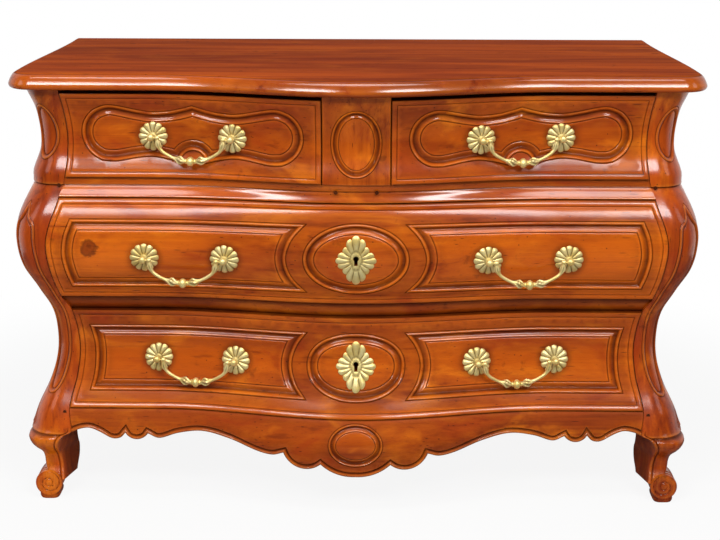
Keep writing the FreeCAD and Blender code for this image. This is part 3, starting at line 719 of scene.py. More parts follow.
class Carving:
    # one closed mesh: rings and fills given as (u, v, depth) and put in place at the end
    def __init__(self, place, back=None):
        self.place, self.back = place, back     # (u, v, depth) to a point; depth of the back surface
        self.points, self.masks, self.faces = [], [], []
        self.count = 0

    def ring(self, line, depth, grimeAndShade=0.0, wearAndHighlight=0.0):
        # the last three may be numbers or functions of the line
        depth, grimeAndShade, wearAndHighlight = [value(line) if callable(value) else np.full(len(line), float(value))
                              for value in (depth, grimeAndShade, wearAndHighlight)]
        self.points.append(np.concatenate([line, depth[:, None]], 1))
        self.masks.append(np.stack([grimeAndShade, wearAndHighlight], 1))
        self.count += len(line)
        return np.arange(self.count - len(line), self.count)

    def strip(self, outer, inner):
        a, b = np.roll(outer, -1), np.roll(inner, -1)
        self.faces += np.stack([outer, a, b, inner], 1).tolist()

    def rings(self, sides, profile, weights=None):
        # profile: (inset, depth, grime and painted shade, wear and painted highlight) from the outline
        # inwards
        made = []
        for inset, *values in profile:
            made.append(self.ring(moved(sides, inset, weights), *values))
            if len(made) > 1:
                self.strip(made[-2], made[-1])
        return made[0], made[-1]

    def fill(self, outer, holes=(), spacing=9.0, depth=0.0, flip=False, grimeAndShade=0.0, wearAndHighlight=0.0, soiledAndShaded=0.0):
        # triangles over a staggered grid; soiledAndShaded: how much more grime and painted shade gathers
        # along the edges
        known = np.concatenate(self.points)[:, :2]
        index = np.concatenate([outer, *holes])
        flat = known[index]
        edges, start = [], 0
        for loop in (outer, *holes):
            edges += [(start + i, start + (i + 1) % len(loop)) for i in range(len(loop))]
            start += len(loop)
        within = lambda points: insideOf(points, known[outer], [known[hole] for hole in holes])
        low, high = flat.min(0), flat.max(0)
        rows = np.arange(low[1] + spacing / 2, high[1], spacing * meshing["rowPitch"])
        columns = np.arange(low[0] + spacing / 2, high[0], spacing)
        grid = np.array([(x + spacing / 2 * (k % 2), z) for k, z in enumerate(rows) for x in columns])
        grid = grid.reshape(-1, 2)
        grid = grid[within(grid)]
        near = nearest(grid, flat)
        clear = near > spacing * meshing["clearance"]
        grid, near = grid[clear], near[clear]
        base = grimeAndShade(grid) if callable(grimeAndShade) else grimeAndShade
        gathered = lambda line: base + soiledAndShaded * np.exp(-near / meshing["soilAndShadeReach"])
        added = self.ring(grid, depth, gathered, wearAndHighlight)
        points = [Vector(p) for p in np.concatenate([flat, grid])]
        vertices, _, triangles, origins, *_ = geometry.delaunay_2d_cdt(points, edges, [], 0, 1e-6)
        vertices, triangles = np.array([v[:] for v in vertices]), np.array(triangles)
        keep = within(vertices[triangles].mean(1))
        names = np.concatenate([index, added])
        made = np.array([names[o[0]] for o in origins])[triangles[keep]]
        self.faces += (made[:, ::-1] if flip else made).tolist()

    def walls(self, edge, holes=()):
        # straight back from the edge ring to the back surface, which is then closed
        points = np.concatenate(self.points)
        rim = self.ring(points[edge, :2], self.back, meshing["wallGrimeAndShade"])
        self.strip(rim, edge)
        backs = []
        for hole in holes:
            backs.append(self.ring(points[hole, :2], self.back, meshing["holeGrimeAndShade"]))
            self.strip(hole, backs[-1])
        self.fill(rim, backs, meshing["backSpacing"], self.back, flip=True)

    def placed(self):
        return self.place(*np.concatenate(self.points).T), np.concatenate(self.masks)

    def piece(self, name, body, material, nodes):
        places, masks = self.placed()
        makePiece(name, places, self.faces, body, material, nodes, masks)


class Assembly:
    # several closed shells gathered into one piece
    def __init__(self):
        self.points, self.faces, self.masks, self.count = [], [], [], 0

    def add(self, points, faces, masks=None):
        self.points.append(np.asarray(points, float))
        self.masks.append(np.zeros((len(points), 2)) if masks is None else masks)
        self.faces += [tuple(int(k) + self.count for k in face) for face in faces]
        self.count += len(points)

    def piece(self, name, body, slot, material, nodes, sharp=40.0):
        makePiece(name, np.concatenate(self.points), self.faces, body, material, nodes,
                  np.concatenate(self.masks), sharp)


# mouldings: (inset from the outer line, depth, grime and painted shade, wear and painted highlight); the deep
# coves and the rows running back into gaps take painted shade

panelMoulding = [
    (0.0, 0.0, 0.35, 0.0), (0.5, 1.3, 0.95, 0.0), (1.1, 1.6, 1.0, 0.0), (1.8, 0.5, 0.45, 0.2),
    (2.7, -0.7, 0.1, 0.4), (3.9, -1.3, 0.0, 0.6), (5.0, -0.8, 0.0, 0.4), (6.0, 0.1, 0.0, 0.2),
    (7.0, 1.1, 0.15, 0.0), (7.9, 2.7, 0.75, 0.0), (8.8, 4.3, 0.95, 0.0), (9.8, 5.2, 0.9, 0.0),
    (11.2, 5.5, 0.8, 0.0), (13.0, 5.0, 0.6, 0.0), (15.0, 3.9, 0.35, 0.0), (17.0, 2.5, 0.1, 0.1),
    (18.6, 1.3, 0.0, 0.4), (19.8, 0.9, 0.05, 0.4), (20.7, 1.3, 0.4, 0.1), (21.2, 2.2, 0.95, 0.0),
    (21.8, 2.2, 0.95, 0.0), (22.4, 1.2, 0.4, 0.1), (23.3, 0.65, 0.1, 0.3), (24.5, 0.5, 0.0, 0.0),
]
# the same around small ovals
smallMoulding = [(inset * 0.7, depth * 0.85, grimeAndShade, wearAndHighlight) for inset, depth, grimeAndShade, wearAndHighlight in panelMoulding]
fieldDepth = panelMoulding[-1][1]
# drawer edges: the wall down into the gap takes painted shade
drawerEdge = [
    (0.0, 7.0, 1.0, 0.0), (0.0, 2.6, 0.8, 0.0), (0.6, 1.1, 0.5, 0.1), (1.9, 0.2, 0.25, 0.3),
    (3.4, 0.0, 0.1, 0.1), (8.2, 0.0, 0.0, 0.0), (9.0, 0.35, 0.3, 0.1), (9.6, 1.3, 0.7, 0.0),
    (10.3, 1.4, 0.7, 0.0), (11.2, 0.35, 0.15, 0.3), (12.4, 0.0, 0.0, 0.1),
]


def onFront(proud=0.0):
    return lambda x, z, depth: np.stack([x, frontAt(x, z) - proud + depth, z], 1)


def wallBack(flat, bow=0.0, proud=0.0):
    # depth at which an upright wall stands that is flat at the ends and bows in the middle
    return lambda line: -(flat + bow * bowShare(line[:, 0])) - (frontAt(line[:, 0], line[:, 1]) - proud)


# drawer fronts

fittings = {
    "spacing": 152.0, "standOff": 20.0, "drop": 43.0,
    "spots": {"upper_left": (-306, 721), "upper_right": (306, 721), "middle_left": (-323, 497),
              "middle_right": (323, 497), "lower_left": (-308, 284), "lower_right": (308, 284)},
    "gripsOf": {"upper_left": ["upper_left"], "upper_right": ["upper_right"],
                "middle": ["middle_left", "middle_right"], "lower": ["lower_left", "lower_right"]},
    "petals": 12, "rosetteRadius": 27.5, "rosetteDome": 5.0,
    "knob": [(4.2, 8.4), (5.4, 8.0), (5.9, 6.0), (7.2, 4.6), (10.4, 4.2), (13.6, 4.7), (15.2, 6.2),
             (16.0, 6.9), (18.4, 7.1), (20.6, 6.9), (22.6, 6.1), (24.4, 4.4), (25.4, 2.4), (25.8, 0.6)],
    "barRadius": 3.1, "ball": (9.3, 7.2),
    "neck": 6.0, "turn": 55.0, "shoulderInset": 13.5,
    "nut": (7.0, 10.0), "shank": 3.0,
}
cartouche = {                       # on an upper drawer, from its own middle
    "middleX": 306.0,
    "peak": (0, 782),
    "dip": [(104, 772.5), (77, 768.5), (45, 770.5), (20, 776)],
    "waist": [(45, 676), (77, 681), (105, 679), (128, 675)],
    "lobe": (155.0, 727.0),
    "lobeRadius": 55.0,
    "lobeAngles": (-98, -70, -40, -10, 20, 50, 78, 98),
    "cusp": (23, 670),
    "arch": (0, 670),
    "archRadius": 23.0,
}
longPanels = {                      # right-hand panels of the long drawers
    "middle": {"bottom": 432.0, "top": 571.0, "tips": (90, 90), "bulge": 130.0,
               "end": [(542, 432), (551, 466), (556, 502), (551, 538), (538, 571)],
               "oval": ((0, 502), 201, 143, 1.0)},
    "lower": {"bottom": 219.0, "top": 349.0, "tips": (93, 91), "bulge": 122.0,
              "end": [(519, 219), (511, 250), (508, 284), (510, 316), (518, 349)],
              "oval": ((0, 283), 190, 132, 0.92)},
}
# inner: where the wall's inner face stands, and its bow; dulled: where the wax has gone, as share,
# level and reach
upperDrawer = {"z": (644.1, 803.0), "inner": (182.0, 64.0), "dulled": (0.85, 670.0, 24.0), "grain": "across"}
drawerFronts = {
    "upper_left": upperDrawer,
    "upper_right": upperDrawer,
    "middle": {"z": (410.0, 606.0), "inner": (191.0, 38.0), "dulled": (0.5, 418.0, 20.0),
               "grain": "knotty", "keyhole": 502.0},
    "lower": {"z": (189.0, 379.0), "inner": (167.0, 50.0), "dulled": (0.9, 200.0, 24.0),
              "grain": "across", "keyhole": 284.0},
}
stileGap = 64.5                     # from the middle to an upper drawer's edge
keyholeForm = {"head": 5.0, "slot": 3.0, "rise": 4.0, "drop": 9.0}


def cartoucheSides():
    c = cartouche
    (x, z), radius = c["lobe"], c["lobeRadius"]
    end = [(x + radius * math.cos(math.radians(a)), z + radius * math.sin(math.radians(a)))
           for a in c["lobeAngles"]]
    side = drawn([c["cusp"], *c["waist"], *end, *c["dip"], c["peak"]], 3.5)
    return [side, turned(side), bent(c["arch"], c["archRadius"], 180, 0, 2.5)]


def longPanelSides(panel):
    low, high, end, bulge = [panel[key] for key in ("bottom", "top", "end", "bulge")]
    bottomTip, topTip = panel["tips"]
    lean = (bulge - (bottomTip + topTip) / 2) * 0.72
    rise = (high - low) * 0.24
    inner = [(topTip, high), (topTip + lean, high - rise), (bulge, (low + high) / 2),
             (bottomTip + lean, low + rise), (bottomTip, low)]
    return [drawn([(bottomTip, low), end[0]], 7), drawn(end, 6), drawn([end[-1], (topTip, high)], 7),
            drawn(inner, 4)]


def uprightOutline(low, high, leftEdge, rightEdge, step=7.0):
    z = np.linspace(low, high, int((high - low) / step) + 1)
    left = np.stack([leftEdge(z), z], 1)[::-1]
    right = np.stack([rightEdge(z), z], 1)
    return [drawn([left[-1], right[0]], step), right, drawn([right[-1], left[0]], step), left]


def keyholeRing(z):
    k = keyholeForm
    turn = math.degrees(math.asin(k["slot"] / k["head"]))
    head = bent((0, z + k["rise"]), k["head"], -90 + turn, 270 - turn, 1.5)
    return np.concatenate([head, [(-k["slot"], z - k["drop"]), (k["slot"], z - k["drop"])]])


def shadowAroundPlates(drawer):
    # painted contact shadow: darker wood around the rosettes
    f = fittings
    spots = [(f["spots"][grip][0] + end * f["spacing"] / 2, f["spots"][grip][1])
             for grip in f["gripsOf"][drawer] for end in (-1, 1)]
    away = lambda line: np.min([np.hypot(*(line - spot).T) for spot in spots], axis=0) - f["rosetteRadius"]
    return lambda line: 0.6 * np.exp(-(np.maximum(away(line), 0) / 6.5) ** 2)


def makeDrawerFront(name):
    size = drawerFronts[name]
    gapEdge = lambda z: openingAt(z) - form["edgeGap"]
    leftEdge = (lambda z: z * 0 + stileGap) if name == "upper_right" else (lambda z: -gapEdge(z))
    rightEdge = (lambda z: z * 0 - stileGap) if name == "upper_left" else gapEdge
    proud, holes = form["drawerProud"], []
    board = Carving(onFront(proud), wallBack(*size["inner"], proud))
    rim, flat = board.rings(uprightOutline(*size["z"], leftEdge, rightEdge), drawerEdge)
    if name in longPanels:
        right = longPanelSides(longPanels[name])
        shapes = [right, mirroredSides(right), oval(*longPanels[name]["oval"])]
        holes = [board.ring(keyholeRing(size["keyhole"]), fieldDepth, 0.6)]
    else:
        middle = cartouche["middleX"] * (1 if name == "upper_right" else -1)
        shapes = [[side + (middle, 0) for side in cartoucheSides()]]
    outers = []
    for shape in shapes:
        outer, inner = board.rings(shape, panelMoulding)
        outers.append(outer)
        board.fill(inner, holes if shape is shapes[-1] else (), 5.0, fieldDepth, grimeAndShade=shadowAroundPlates(name),
                   soiledAndShaded=0.35)
    share, level, reach = size["dulled"]
    dulled = lambda line: -share * np.exp(-((line[:, 1] - level) / reach) ** 2)
    board.fill(flat, outers, grimeAndShade=0.1, wearAndHighlight=dulled, soiledAndShaded=0.45)
    board.walls(rim, holes)
    board.piece("front_" + name, "drawer_" + name, wood[size["grain"]], ["drawer_front_" + name])


for drawer in drawerFronts:
    makeDrawerFront(drawer)
print("drawer fronts carved")


# front frame

frontFrame = {
    "railBack": 158.0,
    "stileHalf": 63.0,
    "stileFoot": 642.6,
    "stileOval": ((0, 719), 96, 128, 0.97),
    "stileBack": 120.0,
    "apronTop": 187.5,
    "apronOval": ((0, 140), 106, 84, 1.0),
    "apronDull": -0.7,
}
apronEdge = {                       # the right half, from the middle outwards
    "lobe": [(0, 77), (36, 82)],
    "ear": (103, 90),
    "wave": [(160, 113), (190, 118), (245, 138), (297, 148), (345, 142), (382, 131)],
    "scallop": (425, 128),
    "outer": [(458, 131), (474, 130), (498, 143), (518, 150), (536, 148)],
    "cusps": [(67, 100), (139, 119), (404, 140), (448, 141)],
    "sideWeight": 0.1,              # share of the bead along the posts and the top
}
# the first rows run back into the gaps and take painted shade
apronBead = [
    (0.0, 9.0, 0.35, 0.1), (0.0, 4.8, 0.2, 0.3), (0.8, 1.8, 0.1, 0.4), (2.2, -0.4, 0.05, 0.5),
    (4.2, -1.6, 0.0, 0.6), (6.2, -0.6, 0.15, 0.2), (7.6, 2.0, 0.85, 0.0), (8.6, 3.2, 1.0, 0.0),
    (9.7, 2.6, 0.85, 0.0), (10.9, 0.7, 0.2, 0.35), (12.4, 0.0, 0.0, 0.1),
]
softArris = [(0.0, 5.0, 0.8, 0.0), (0.0, 1.4, 0.3, 0.1), (0.4, 0.5, 0.0, 0.4), (1.3, 0.0, 0.0, 0.4),
             (3.0, 0.0, 0.0, 0.0)]


def throughThree(a, low, b):
    # arc through three points, as a side
    (ax, az), (bx, bz), (cx, cz) = a, low, b
    d = 2 * (ax * (bz - cz) + bx * (cz - az) + cx * (az - bz))
    aa, bb, cc = ax**2 + az**2, bx**2 + bz**2, cx**2 + cz**2
    ux = (aa * (bz - cz) + bb * (cz - az) + cc * (az - bz)) / d
    uz = (aa * (cx - bx) + bb * (ax - cx) + cc * (bx - ax)) / d
    start, middle, end = [math.degrees(math.atan2(z - uz, x - ux)) for x, z in (a, low, b)]
    while middle < start:
        middle += 360
    while end < middle:
        end += 360
    return bent((ux, uz), math.hypot(ax - ux, az - uz), start, end if end - start <= 360 else end - 360)


def apronSides():
    e, knee = apronEdge, form["kneeLevel"]
    corner = (float(openingAt(knee)), knee)
    first, second, third, fourth = e["cusps"]
    right = [throughThree(*e["lobe"], first), throughThree(first, e["ear"], second),
             drawn([second, *e["wave"], third], 3.5), throughThree(third, e["scallop"], fourth),
             drawn([fourth, *e["outer"], corner], 3.5)]
    z = np.linspace(knee, frontFrame["apronTop"], 8)
    rise = np.stack([openingAt(z), z], 1)
    top = drawn([rise[-1], rise[-1] * mirror], 7)
    return [*mirroredSides(right), *right, rise, top, turned(rise)]


def makeApron():
    board = Carving(onFront(), lambda line: np.full(len(line), form["skin"]))
    sides = apronSides()
    weights = [1.0] * (len(sides) - 3) + [apronEdge["sideWeight"]] * 3
    rim, flat = board.rings(sides, apronBead, weights)
    outer, inner = board.rings(oval(*frontFrame["apronOval"]), smallMoulding)
    board.fill(inner, depth=fieldDepth)
    board.fill(flat, [outer], grimeAndShade=0.1, wearAndHighlight=frontFrame["apronDull"], soiledAndShaded=0.4)
    board.walls(rim)
    board.piece("scallopedApron", "carcass", wood["apron"], ["front_apron"])


def makeStile():
    f = frontFrame
    board = Carving(onFront(), wallBack(f["stileBack"]))
    outline = uprightOutline(f["stileFoot"], form["height"] - form["topThickness"],
                             lambda z: z * 0 - f["stileHalf"], lambda z: z * 0 + f["stileHalf"])
    rim, flat = board.rings(outline, softArris)
    outer, inner = board.rings(oval(*f["stileOval"]), smallMoulding)
    board.fill(inner, depth=fieldDepth)
    board.fill(flat, [outer], grimeAndShade=0.1, soiledAndShaded=0.3)
    board.walls(rim)
    board.piece("ovalStile", "carcass", wood["stile"], ["centre_stile"])


# section: (height, depth, grime and painted shade, wear and painted highlight) up the front; slot: room above
# the lock bolt, back, front and top
rails = {
    "waist": {
        "slot": (-219.7, -225.3, 617.5), "grain": "waist",
        "section": [
            (607.5, 2.0, 0.5, 0.0), (608.1, 0.7, 0.1, 0.6), (609.3, 0.2, 0.0, 0.5), (611.5, 0.6, 0.0, 0.0),
            (615, 1.6, 0.0, 0.0), (619, 2.9, 0.0, 0.0), (623, 4.2, 0.0, 0.0), (626.2, 5.0, 0.0, 0.2),
            (627.4, 5.9, 0.7, 0.0), (628.6, 6.1, 0.85, 0.0), (629.4, 5.0, 0.1, 0.5), (631, 4.4, 0.0, 0.3),
            (636, 4.2, 0.0, 0.0), (640.5, 4.2, 0.0, 0.2), (642.0, 4.6, 0.1, 0.4), (642.6, 6.0, 0.5, 0.0)],
    },
    "middle": {
        # the middle rail is set back, and its whole section takes painted shade, darkest at its edges
        "slot": (-207.7, -213.3, 390.5), "grain": "across",
        "section": [
            (380.5, 9.5, 1.0, 0.0), (382, 8.6, 0.9, 0.0), (385, 7.6, 0.65, 0.0), (390, 7.0, 0.4, 0.0),
            (397, 6.7, 0.35, 0.1), (402, 7.1, 0.5, 0.0), (405.5, 8.0, 0.85, 0.0), (408.5, 9.5, 1.0, 0.0)],
    },
}
slotHalfWidth = 6.35


def makeRail(name, columns=150):
    rail = rails[name]
    z, proud, grimeAndShade, wearAndHighlight = np.array(rail["section"]).T
    low, high, back = z[0], z[-1], -frontFrame["railBack"]
    near, far, top = rail["slot"]
    edge = slotHalfWidth / float(openingAt(low))
    extra = [side * edge * wider for side in (-1, 1) for wider in (1.0, 1.08)]
    shares = np.sort(np.concatenate([np.linspace(-1, 1, columns + 1), extra]))
    points = []
    for t in shares:
        y = frontAt(t * openingAt(z), z) + proud
        if abs(t) < edge * 1.01:
            under = [(near, low), (near, top), (far, top), (far, low)]
        else:
            under = [(back + (y[0] - back) * k, low) for k in (0.2, 0.4, 0.6, 0.8)]
        line = np.concatenate([np.stack([y, z], 1), [(back, high), (back, low)], under])
        points.append(np.stack([t * openingAt(line[:, 1]), line[:, 0], line[:, 1]], 1))
    # the rail's underside and the lock slot take painted shade
    masks = np.concatenate([np.stack([grimeAndShade, wearAndHighlight], 1), [(0, 0)] * 2, [(0.6, 0)] * 4])
    makePiece(name + "Rail", np.concatenate(points), tubeFaces(len(shares), len(masks)), "carcass",
              wood[rail["grain"]], [name + "_rail"], np.tile(masks, (len(shares), 1)))


makeApron()
makeStile()
for rail in rails:
    makeRail(rail)
print("apron, stile and rails carved")


# front posts and feet

postForm = {
    "kneeTop": 151.0,
    "top": 811.0,
    "upperPanel": ((-4, 726), 60, 108),
    "longPanel": [(0, 208), (7, 209.5), (14, 215), (20, 231), (23, 262), (24, 330), (26, 380), (30, 430),
                  (33, 480), (33, 520), (31, 548), (26, 562), (20, 566), (14, 572), (9, 584), (4, 596),
                  (0, 600)],
    "moulding": [(0.0, 0.0, 0.2, 0.0), (0.6, 0.9, 0.85, 0.0), (1.3, 0.9, 0.85, 0.0), (2.1, -0.2, 0.1, 0.4),
                 (3.6, -0.9, 0.0, 0.6), (5.4, -0.5, 0.0, 0.4), (6.8, 0.8, 0.2, 0.1), (8.2, 2.6, 0.7, 0.0),
                 (9.2, 3.4, 1.0, 0.0), (10.0, 3.0, 0.5, 0.0), (11.2, 2.6, 0.0, 0.0)],
    # height, depth, grime and painted shade, wear and painted highlight: the ledge at the waist and the
    # hollow below it
    "ledge": [(618, 1.8, 0.0, 0.0), (621, 2.3, 0.0, 0.0), (624, 2.8, 0.1, 0.0), (626, 3.2, 0.3, 0.0),
              (627.4, 4.0, 0.8, 0.0), (628.4, 4.4, 1.0, 0.0), (629.1, 3.0, 0.8, 0.0), (629.8, 0.6, 0.1, 0.6),
              (631, 0.0, 0.0, 0.6), (634, 0.0, 0.0, 0.1)],
    "hollowEnd": 594.0,
    "levelsBelow": 80, "levelsAbove": 32, "columns": 24,
}


def postSection(z):
    # corner radius, flat front's length, side's length, and where the corner's centre stands
    inner, outer = openingAt(z), halfWidth(z)
    arris = inner + legSlant(z)
    radius = cornerShare(z) * (outer - arris)
    return (radius, outer - radius - arris, postDepth(z) - radius, outer - radius,
            form["frontInset"] - outer + radius)


def onPost(s, z, depth):
    # s runs around the post from the middle of its rounded corner, outwards
    radius, _, _, centreX, centreY = postSection(z)
    quarter = radius * math.pi / 4
    angle = np.radians(45) - np.clip(s, -quarter, quarter) / radius
    x = centreX + (radius - depth) * np.cos(angle)
    y = centreY - (radius - depth) * np.sin(angle)
    x = np.where(s < -quarter, x + s + quarter, x)
    y = np.where(s > quarter, y + s - quarter, y)
    return np.stack([x, y, z], 1)


def makePost():
    f = postForm
    post = Carving(onPost)
    ledge = np.array(f["ledge"])
    levels, depths, grimes, wears = ledge.T
    z = np.concatenate([np.linspace(f["kneeTop"], levels[0], f["levelsBelow"]), levels[1:-1],
                        np.linspace(levels[-1], f["top"], f["levelsAbove"])])
    first = f["levelsBelow"] - 1
    last = first + len(ledge) - 1
    radius, front, side, _, _ = postSection(z)
    inner, outer = -radius * math.pi / 4 - front, radius * math.pi / 4 + side
    across = np.linspace(0, 1, f["columns"] + 1)

    def sunk(line):
        return np.interp(line[:, 1], [f["hollowEnd"], *levels], [0.0, *depths])

    rows = []
    for k, level in enumerate(z):
        share = across if k in (0, len(z) - 1) or first <= k <= last else across[[0, -1]]
        grimeAndShade, wearAndHighlight = [float(np.interp(level, levels, values)) for values in (grimes, wears)]
        line = np.stack([inner[k] + (outer[k] - inner[k]) * share, share * 0 + level], 1)
        rows.append(post.ring(line, sunk, grimeAndShade, wearAndHighlight))
    left, right = [np.array([row[end] for row in rows]) for end in (0, -1)]
    for low, high in zip(rows[first:last], rows[first + 1:last + 1]):
        post.faces += np.stack([low[:-1], low[1:], high[1:], high[:-1]], 1).tolist()
    half = drawn(f["longPanel"], 3.5)
    shapes = [[half, turned(half)], oval(*f["upperPanel"])]
    for shape, start, end in zip(shapes, (0, last), (first, len(z) - 1)):
        rim, flat = post.rings(shape, f["moulding"])
        post.fill(flat, spacing=7.0, depth=f["moulding"][-1][1])
        between = slice(start + 1, end)
        loop = np.concatenate([rows[start], right[between], rows[end][::-1], left[between][::-1]])
        post.fill(loop, [rim], spacing=7.0, depth=sunk)
    places, masks = post.placed()
    # inner rear corner line, which closes the post behind
    core = np.stack([openingAt(z), form["frontInset"] - halfWidth(z) + postDepth(z), z], 1)
    c = len(places) + np.arange(len(z))
    faces = post.faces + [(right[k], c[k], c[k + 1], right[k + 1]) for k in range(len(z) - 1)]
    faces += [(c[k], left[k], left[k + 1], c[k + 1]) for k in range(len(z) - 1)]
    faces += [(rows[0][k + 1], rows[0][k], c[0]) for k in range(f["columns"])]
    faces += [(rows[-1][k], rows[-1][k + 1], c[-1]) for k in range(f["columns"])]
    return np.concatenate([places, core]), faces, np.concatenate([masks, np.zeros((len(core), 2))])


legForm = {
    "levels": [40, 46, 52, 58, 63, 68, 73, 78, 83, 88, 93, 98, 103, 108, 113, 118, 122, 126, 129.5, 132,
               133.6, 135, 136.4, 138, 139.4, 140.6, 143, 147, 151],
    # height and how far the front and side stand back: the groove under the shelf, and its arris
    "shelf": [(40, 0), (120, 0), (128, 0.2), (131, 1.0), (133.6, 3.6), (135, 4.4), (136.4, 4.0), (138, 1.4),
              (139.4, 0.3), (143, 0), (151, 0)],
    "shelfGrimeAndShade": [(40, 0), (131, 0.0), (133.6, 0.75), (135, 1.0), (136.6, 0.8), (138.4, 0.1), (151, 0)],
    "shelfWearAndHighlight": [(40, 0), (90, 0), (118, 0.15), (128, 0.35), (132, 0.0), (138, 0.3), (139.6, 0.75),
                  (142, 0.1), (151, 0)],
    # from the front arris outwards: (distance, depth, grime and painted shade, wear and painted highlight)
    "bead": [(0.0, 3.2, 0.3, 0.0), (0.6, 1.4, 0.1, 0.2), (1.8, 0.1, 0.0, 0.45), (3.6, -0.5, 0.0, 0.55),
             (5.4, -0.1, 0.0, 0.35), (6.8, 1.3, 0.5, 0.0), (7.8, 2.2, 0.95, 0.0), (8.8, 1.5, 0.5, 0.0),
             (10.2, 0.2, 0.0, 0.25), (12.0, 0.0, 0.0, 0.0)],
    "beadFade": (152, 8),           # height at which the bead has gone, and the height of its fading
    "outerInset": [(40, 20), (52, 15), (60, 9), (66, 3), (72, 0.5), (80, 0), (151, 0)],
    "frontPoints": 7, "cornerPoints": 7, "sidePoints": 5, "backPoints": 5,
}
scrollForm = {
    "centre": (603.0, 33.0),
    "radius": 26.0,
    "groove": 1.5,              # how far outside the rim the groove starts
    "eye": 6.6,
    "turnStart": 75.0,          # where the groove starts on the rim, degrees from +X, anticlockwise
    "turns": 1.28,
    "tightening": 0.72,
    "relief": 2.4,
    "spokes": 72,
    "shares": (0.0, 0.09, 0.16, 0.215, 0.25, 0.275, 0.31, 0.36, 0.42, 0.48, 0.54, 0.6, 0.66, 0.72, 0.78, 0.84,
               0.89, 0.935, 0.97),
    # behind the face: (distance back, inset), with two grooves around the rim
    "rim": [(0.0, 2.6), (0.8, 0.9), (2.6, 0.0), (7.0, 0.2), (9.0, 2.0), (10.4, 2.6), (11.8, 2.0), (13.8, 0.3),
            (19.0, 0.3), (21.0, 2.0), (22.4, 2.6), (23.8, 2.0), (26.0, 0.4), (44.0, 0.4), (58.0, 1.0),
            (62.0, 4.0)],
    "pad": [(0, 15.5), (0.8, 17.5), (4, 19.5), (8, 20.2), (12, 18.6), (15, 15.0)],
    "padWidest": 20.2, "padSpokes": 28, "padCorners": (0.5, 0.4),
}


def legSection(z):
    f = legForm
    shelf, darkening, rubAndHighlight, inset = [float(np.interp(z, *zip(*f[key]))) for key in
                               ("shelf", "shelfGrimeAndShade", "shelfWearAndHighlight", "outerInset")]
    outer, inner = float(halfWidth(z)) - inset, float(openingAt(z))
    arris = inner + float(legSlant(z))
    front = form["frontInset"] - float(halfWidth(z))
    rear = front + float(postDepth(z))
    radius = float(cornerShare(z)) * (outer - arris)
    end, height = f["beadFade"]
    fade = min(max((end - z) / height, 0), 1)
    beadWidth = f["bead"][-1][0]
    points, masks = [], []
    for distance, depth, grimeAndShade, wearAndHighlight in f["bead"]:
        near = min(distance / beadWidth, 1)
        points.append((arris + distance, front + (depth * fade + shelf * near)))
        masks.append((max(grimeAndShade * fade, darkening * near), max(wearAndHighlight * fade, rubAndHighlight * 0.5)))
    start, count = arris + beadWidth, f["frontPoints"]
    plain = [(start + (outer - radius - start) * k / count, front + shelf) for k in range(1, count)]
    for k in range(f["cornerPoints"] + 1):
        a = math.radians(90 * (1 - k / f["cornerPoints"]))
        plain.append((outer - radius + (radius - shelf) * math.cos(a),
                      front + radius - (radius - shelf) * math.sin(a)))
    count = f["sidePoints"]
    plain += [(outer - shelf, front + radius + (rear - front - radius) * k / count)
              for k in range(1, count + 1)]
    count = f["backPoints"]
    back = [(outer - shelf + (inner - outer + shelf) * k / count, rear) for k in range(1, count)]
    forward = front + f["bead"][0][1] * fade - rear
    inside = [(inner + (arris - inner) * k / count, rear + forward * k / count) for k in range(count)]
    # painted shade on the back and inner faces of the leg
    masks += [(darkening, rubAndHighlight)] * len(plain) + [(0.2, 0.0)] * len(back) + [(0.7, 0.0)] * len(inside)
    return [(x, y, z) for x, y in points + plain + back + inside], masks


def makeLeg():
    sections, masks = zip(*[legSection(z) for z in legForm["levels"]])
    # a section runs from the arris outwards, so the faces turn outwards when their order is reversed
    faces = [face[::-1] for face in tubeFaces(len(sections), len(sections[0]))]
    return np.concatenate(sections), faces, np.concatenate(masks)


def scrollRelief(r, angle):
    # height, grime with painted shade in the groove, and wear with painted highlight on the ridge, of the
    # volute's face, at a radius and an angle from the groove's start
    f = scrollForm
    eye, rim = f["eye"], f["radius"] + f["groove"]
    if r <= eye:
        return 1.6 + 1.6 * math.sqrt(max(1 - (r / eye) ** 2, 0)), 0.0, 0.5 * (1 - r / eye)
    total = 360 * f["turns"]
    passed = [angle + 360 * k for k in range(3) if angle + 360 * k <= total]
    edges = [rim, *[rim - (rim - eye) * (turn / total) ** f["tightening"] for turn in passed], eye]
    outer = min([e for e in edges if e >= r - 1e-9], default=rim)
    inner = max([e for e in edges if e < r - 1e-9], default=0.0)
    middle, half = (outer + inner) / 2, max((outer - inner) / 2, 0.8)
    t = min(abs(r - middle) / half, 1)
    height = f["relief"] * (1 - t ** 4) ** 0.5
    return height, max(0.0, (t - 0.78) / 0.22) * 0.9, 0.45 * max(0.0, 1 - t * 2.2)


